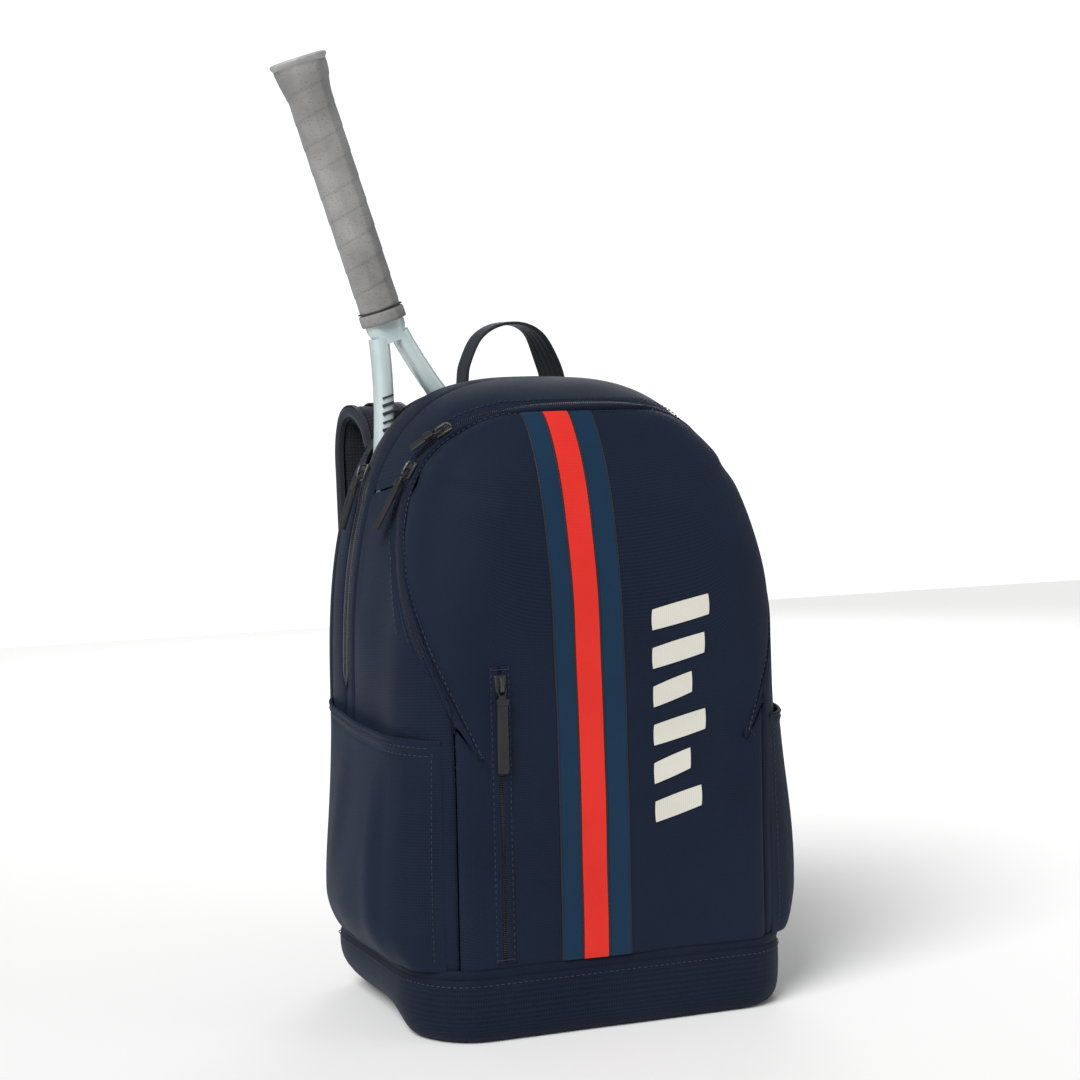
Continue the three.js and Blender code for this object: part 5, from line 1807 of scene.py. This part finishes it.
def make_back_pad(side, word):
    """A stuffed air-mesh pad with three sewn channels and a bound edge."""
    corners = [(20.5, 80.5), (103.5, 80.5), (103.5, 339.5), (20.5, 339.5)]
    outline = rounded_corners([(side * a, b) for a, b in corners], 20.0, 7)
    if side < 0:
        outline = outline[::-1]
    middle = np.array((side * 62.0, 210.0))
    small = [(middle + (np.array(spot) - middle) * np.array((0.965, 0.988))) * mm for spot in outline]
    pad = plate(f"pad_mesh_{word}", small, 113.6 * mm, 119.2 * mm, 2.4 * mm, "black_mesh", None)
    stuff_with_cloth(pad, 4.5 * mm, 2.4 * mm)
    mesh = pad.data
    for vertex in mesh.vertices:
        vertex.co.y = max(vertex.co.y, 113.35 * mm)
    channels = [((side * 0.062, 0.12, z * mm), (0.0, 0.0, 1.0)) for z in (145.0, 210.0, 275.0)]
    sewn_channels(pad, channels, 2.6 * mm, 2.0 * mm)
    for vertex in mesh.vertices:
        vertex.co.y = max(vertex.co.y, 113.35 * mm)
    subdivide(pad)
    give_flat_uv(pad)
    dress(pad, "black_mesh", "bag", f"back_pad_{word}", angle=80.0)
    rim = [(a * mm, 116.2 * mm, b * mm) for a, b in outline]
    rim = curve_points([(x, y, z) for x, y, z in rim] + [rim[0]], 150)[:-1]
    band = rounded_band(5.4 * mm, 3.0 * mm, 3, 3)
    binding = sweep(f"pad_binding_{word}", rim, band, (0.0, 1.0, 0.0), closed=True)
    dress(binding, "black_tape", "bag")


for side, word in ((-1, "left"), (1, "right")):
    make_back_pad(side, word)


# ---------------------------------------------------------------- racket
# Made upright with the middle of the head at the origin, then set at its place and tilt.
RACKET_TILT = math.radians(17.7)
RACKET_PLACE = Vector((3.0, 87.0, 186.0)) * mm
HEAD_WIDE, HEAD_LONG = 124.0, 168.0
GRIP_START = 314.0
BUTT = 517.0


def set_racket(piece):
    """Tilts a piece of the racket to the left and carries it to its place."""
    turn = Matrix.Rotation(-RACKET_TILT, 4, "Y")
    turn.translation = RACKET_PLACE
    piece.data.transform(turn)
    return piece


def beam(name, path, wide, deep, closed=False, scale=None):
    """A hollow-looking racket beam: a rounded box section carried along a line in the racket's plane."""
    outline = []
    for i in range(20):
        angle = 2 * math.pi * i / 20
        a, b = math.cos(angle), math.sin(angle)
        out = deep / 2 * mm * math.copysign(abs(a) ** 0.62, a)
        across = wide / 2 * mm * math.copysign(abs(b) ** 0.62, b)
        outline.append((out, across))
    return sweep(name, np.array(path) * mm, outline, (0.0, 1.0, 0.0), closed=closed, scale=scale)


def bezier(a, b, c, d, count):
    a, b, c, d = (np.array(p, float) for p in (a, b, c, d))
    shares = np.linspace(0, 1, count)
    return [a * (1 - t) ** 3 + 3 * b * t * (1 - t) ** 2 + 3 * c * t ** 2 * (1 - t) + d * t ** 3 for t in shares]


def unite(piece, other):
    finish_with(piece, "BOOLEAN", operation="UNION", object=other, solver="EXACT")
    bpy.data.objects.remove(other)


def make_racket_frame():
    turns = np.linspace(0, 2 * math.pi, 145)[:-1]
    rim = [((HEAD_WIDE - 6) * math.cos(a), 0.0, (HEAD_LONG - 6) * math.sin(a)) for a in turns]
    hoop = beam("racket_beam", rim, 12, 20.6, closed=True)
    for side in (-1, 1):
        start = np.array((side * 96.0, 0.0, 103.0))
        line = bezier(start, (side * 64, 0, 162), (side * 24.5, 0, 226), (side * 8.2, 0, 308), 60)
        arm = beam("racket_arm", line, 12.5, 20.2)
        unite(hoop, arm)
    shaft = beam("racket_shaft", [(0, 0, z) for z in np.linspace(303, 320, 10)], 28.0, 20.4,
                 scale=lambda t: (1.0, blend_value(0.72, 1.0, smooth_step(t, 0.0, 0.7))))
    unite(hoop, shaft)
    give_flat_uv(hoop)
    set_racket(hoop)
    return dress(hoop, "racket_paint", "racket", "racket_frame", angle=38.0)


def make_strings():
    """Mains and crosses pass over and under each other and end in the beam."""
    wide, long = HEAD_WIDE - 11.0, HEAD_LONG - 11.0
    mains = np.linspace(-0.88, 0.88, 16) * wide
    crosses = np.linspace(-0.86, 0.88, 19) * long
    strings = []
    for number, x in enumerate(mains):
        reach = long * math.sqrt(1 - (x / wide) ** 2)
        zs = np.linspace(-reach, reach, 90)
        path = [
            (x, 0.75 * math.cos(math.pi * np.interp(z, crosses, range(19)) + math.pi * number), z) for z in zs
        ]
        strings.append(sweep("string", np.array(path) * mm, circle(0.66 * mm, 5), (1.0, 0.0, 0.0)))
    for number, z in enumerate(crosses):
        reach = wide * math.sqrt(1 - (z / long) ** 2)
        xs = np.linspace(-reach, reach, 76)
        path = [
            (x, -0.75 * math.cos(math.pi * np.interp(x, mains, range(16)) + math.pi * number), z) for x in xs
        ]
        strings.append(sweep("string", np.array(path) * mm, circle(0.66 * mm, 5), (0.0, 0.0, 1.0)))
    bed = joined(*strings)
    bed.name = "racket_strings"
    set_racket(bed)
    return dress(bed, "string_nylon", "racket", "string_bed")


def make_bumper():
    turns = [math.radians(a) for a in np.linspace(222, 318, 60)]
    path = [((HEAD_WIDE + 1.2) * math.cos(a), 0.0, (HEAD_LONG + 1.2) * math.sin(a)) for a in turns]
    band = rounded_band(14 * mm, 2.2 * mm, 3, 5)
    guard = sweep("racket_bumper", np.array(path) * mm, band, (0.0, 1.0, 0.0))
    set_racket(guard)
    return dress(guard, "bumper_plastic", "racket", "bumper_guard")


def octagon_radius(angle):
    """A softened eight-sided section, flat to the left and right, as 1 at its flats."""
    eighth = math.pi / 4
    local = (angle + eighth / 2) % eighth - eighth / 2
    return blend_value(1.0 / math.cos(local), 1.0, 0.35)


WRAP_PITCH = 18.6


def make_grip():
    """Grip tape wound up the handle: each turn overlaps the last with a raised edge."""
    around, rows = 64, 230
    low, high = GRIP_START + 6.0, BUTT - 5.0

    def place(u, v):
        z = blend_value(low, high, v)
        angle = 2 * math.pi * u
        turn = ((z / WRAP_PITCH) - u) % 1.0
        overlap = 0.42 * smooth_step(turn, 0.86, 0.93) - 0.42 * turn
        radius = blend_value(14.6, 15.6, clamp01((z - low) / 150.0))
        radius += 3.4 * smooth_step(z, BUTT - 34, BUTT - 8) ** 1.3
        radius = radius * octagon_radius(angle) + overlap
        return np.array((radius * math.cos(angle), 0.94 * radius * math.sin(angle), z)) * mm

    grip = lay_cloth("grip_tape", around, rows, place)
    close_tube(grip)
    set_racket(grip)
    dress(grip, "grip_wrap", "racket", "grip", angle=60.0)
    rings = np.linspace(0, 2 * math.pi, 65)[:-1]
    for name, z, radius, size, finish, replaced in (
        ("grip_band", GRIP_START + 8.5, 15.2, (9.0, 2.2), "grip_wrap", ("grip_collar",)),
        ("grip_line", GRIP_START + 14.2, 15.4, (1.3, 1.6), "bumper_plastic", ()),
    ):
        widths = [radius * octagon_radius(a) for a in rings]
        path = [(wide * math.cos(a), 0.94 * wide * math.sin(a), z) for a, wide in zip(rings, widths)]
        outline = rounded_band(size[0] * mm, size[1] * mm, 3, 3)
        ring = sweep(name, np.array(path) * mm, outline, (0.0, 0.0, 1.0), closed=True)
        set_racket(ring)
        dress(ring, finish, "racket", *replaced)


def make_butt_cap():
    """The flared end of the handle: a rounded rim round a sunken face."""
    profile = [
        (17.2, -7.0), (19.2, -5.0), (20.6, -3.0), (20.9, -1.4), (20.2, -0.3), (18.8, 0.0),
        (17.2, -0.4), (16.4, -1.6), (13.0, -1.9), (8.0, -1.8), (3.0, -1.7),
    ]

    def place(u, v):
        radius, rise = profile[int(round(v * (len(profile) - 1)))]
        angle = 2 * math.pi * u
        radius *= blend_value(octagon_radius(angle), 1.0, 0.4)
        return np.array((radius * math.cos(angle), 0.94 * radius * math.sin(angle), BUTT + rise)) * mm

    cap = lay_cloth("butt_end", 64, len(profile) - 1, place)
    close_tube(cap)
    set_racket(cap)
    return dress(cap, "butt_plastic", "racket", "butt_cap", angle=40.0)


def make_arm_bars():
    """Plain dark bars printed across the front of the racket's left arm."""
    line = bezier((-96.0, 0, 103.0), (-64, 0, 162), (-24.5, 0, 226), (-8.2, 0, 308), 200)
    for number in range(13):
        spot = line[int(np.interp(268.0 - 5.6 * number, [p[2] for p in line], range(200)))]
        top = spot[2] + (1.1 if number % 3 else 0.3)
        low, high = (spot[0] - 4.6, -10.75, spot[2] - 1.1), (spot[0] + 4.6, -10.0, top)
        bar = rounded_block(f"racket_bar_{number + 1}", low, high, 0.2)
        set_racket(bar)
        give_flat_uv(bar)
        dress(bar, "bumper_plastic", "racket")


make_racket_frame()
make_strings()
make_bumper()
make_grip()
make_butt_cap()
make_arm_bars()
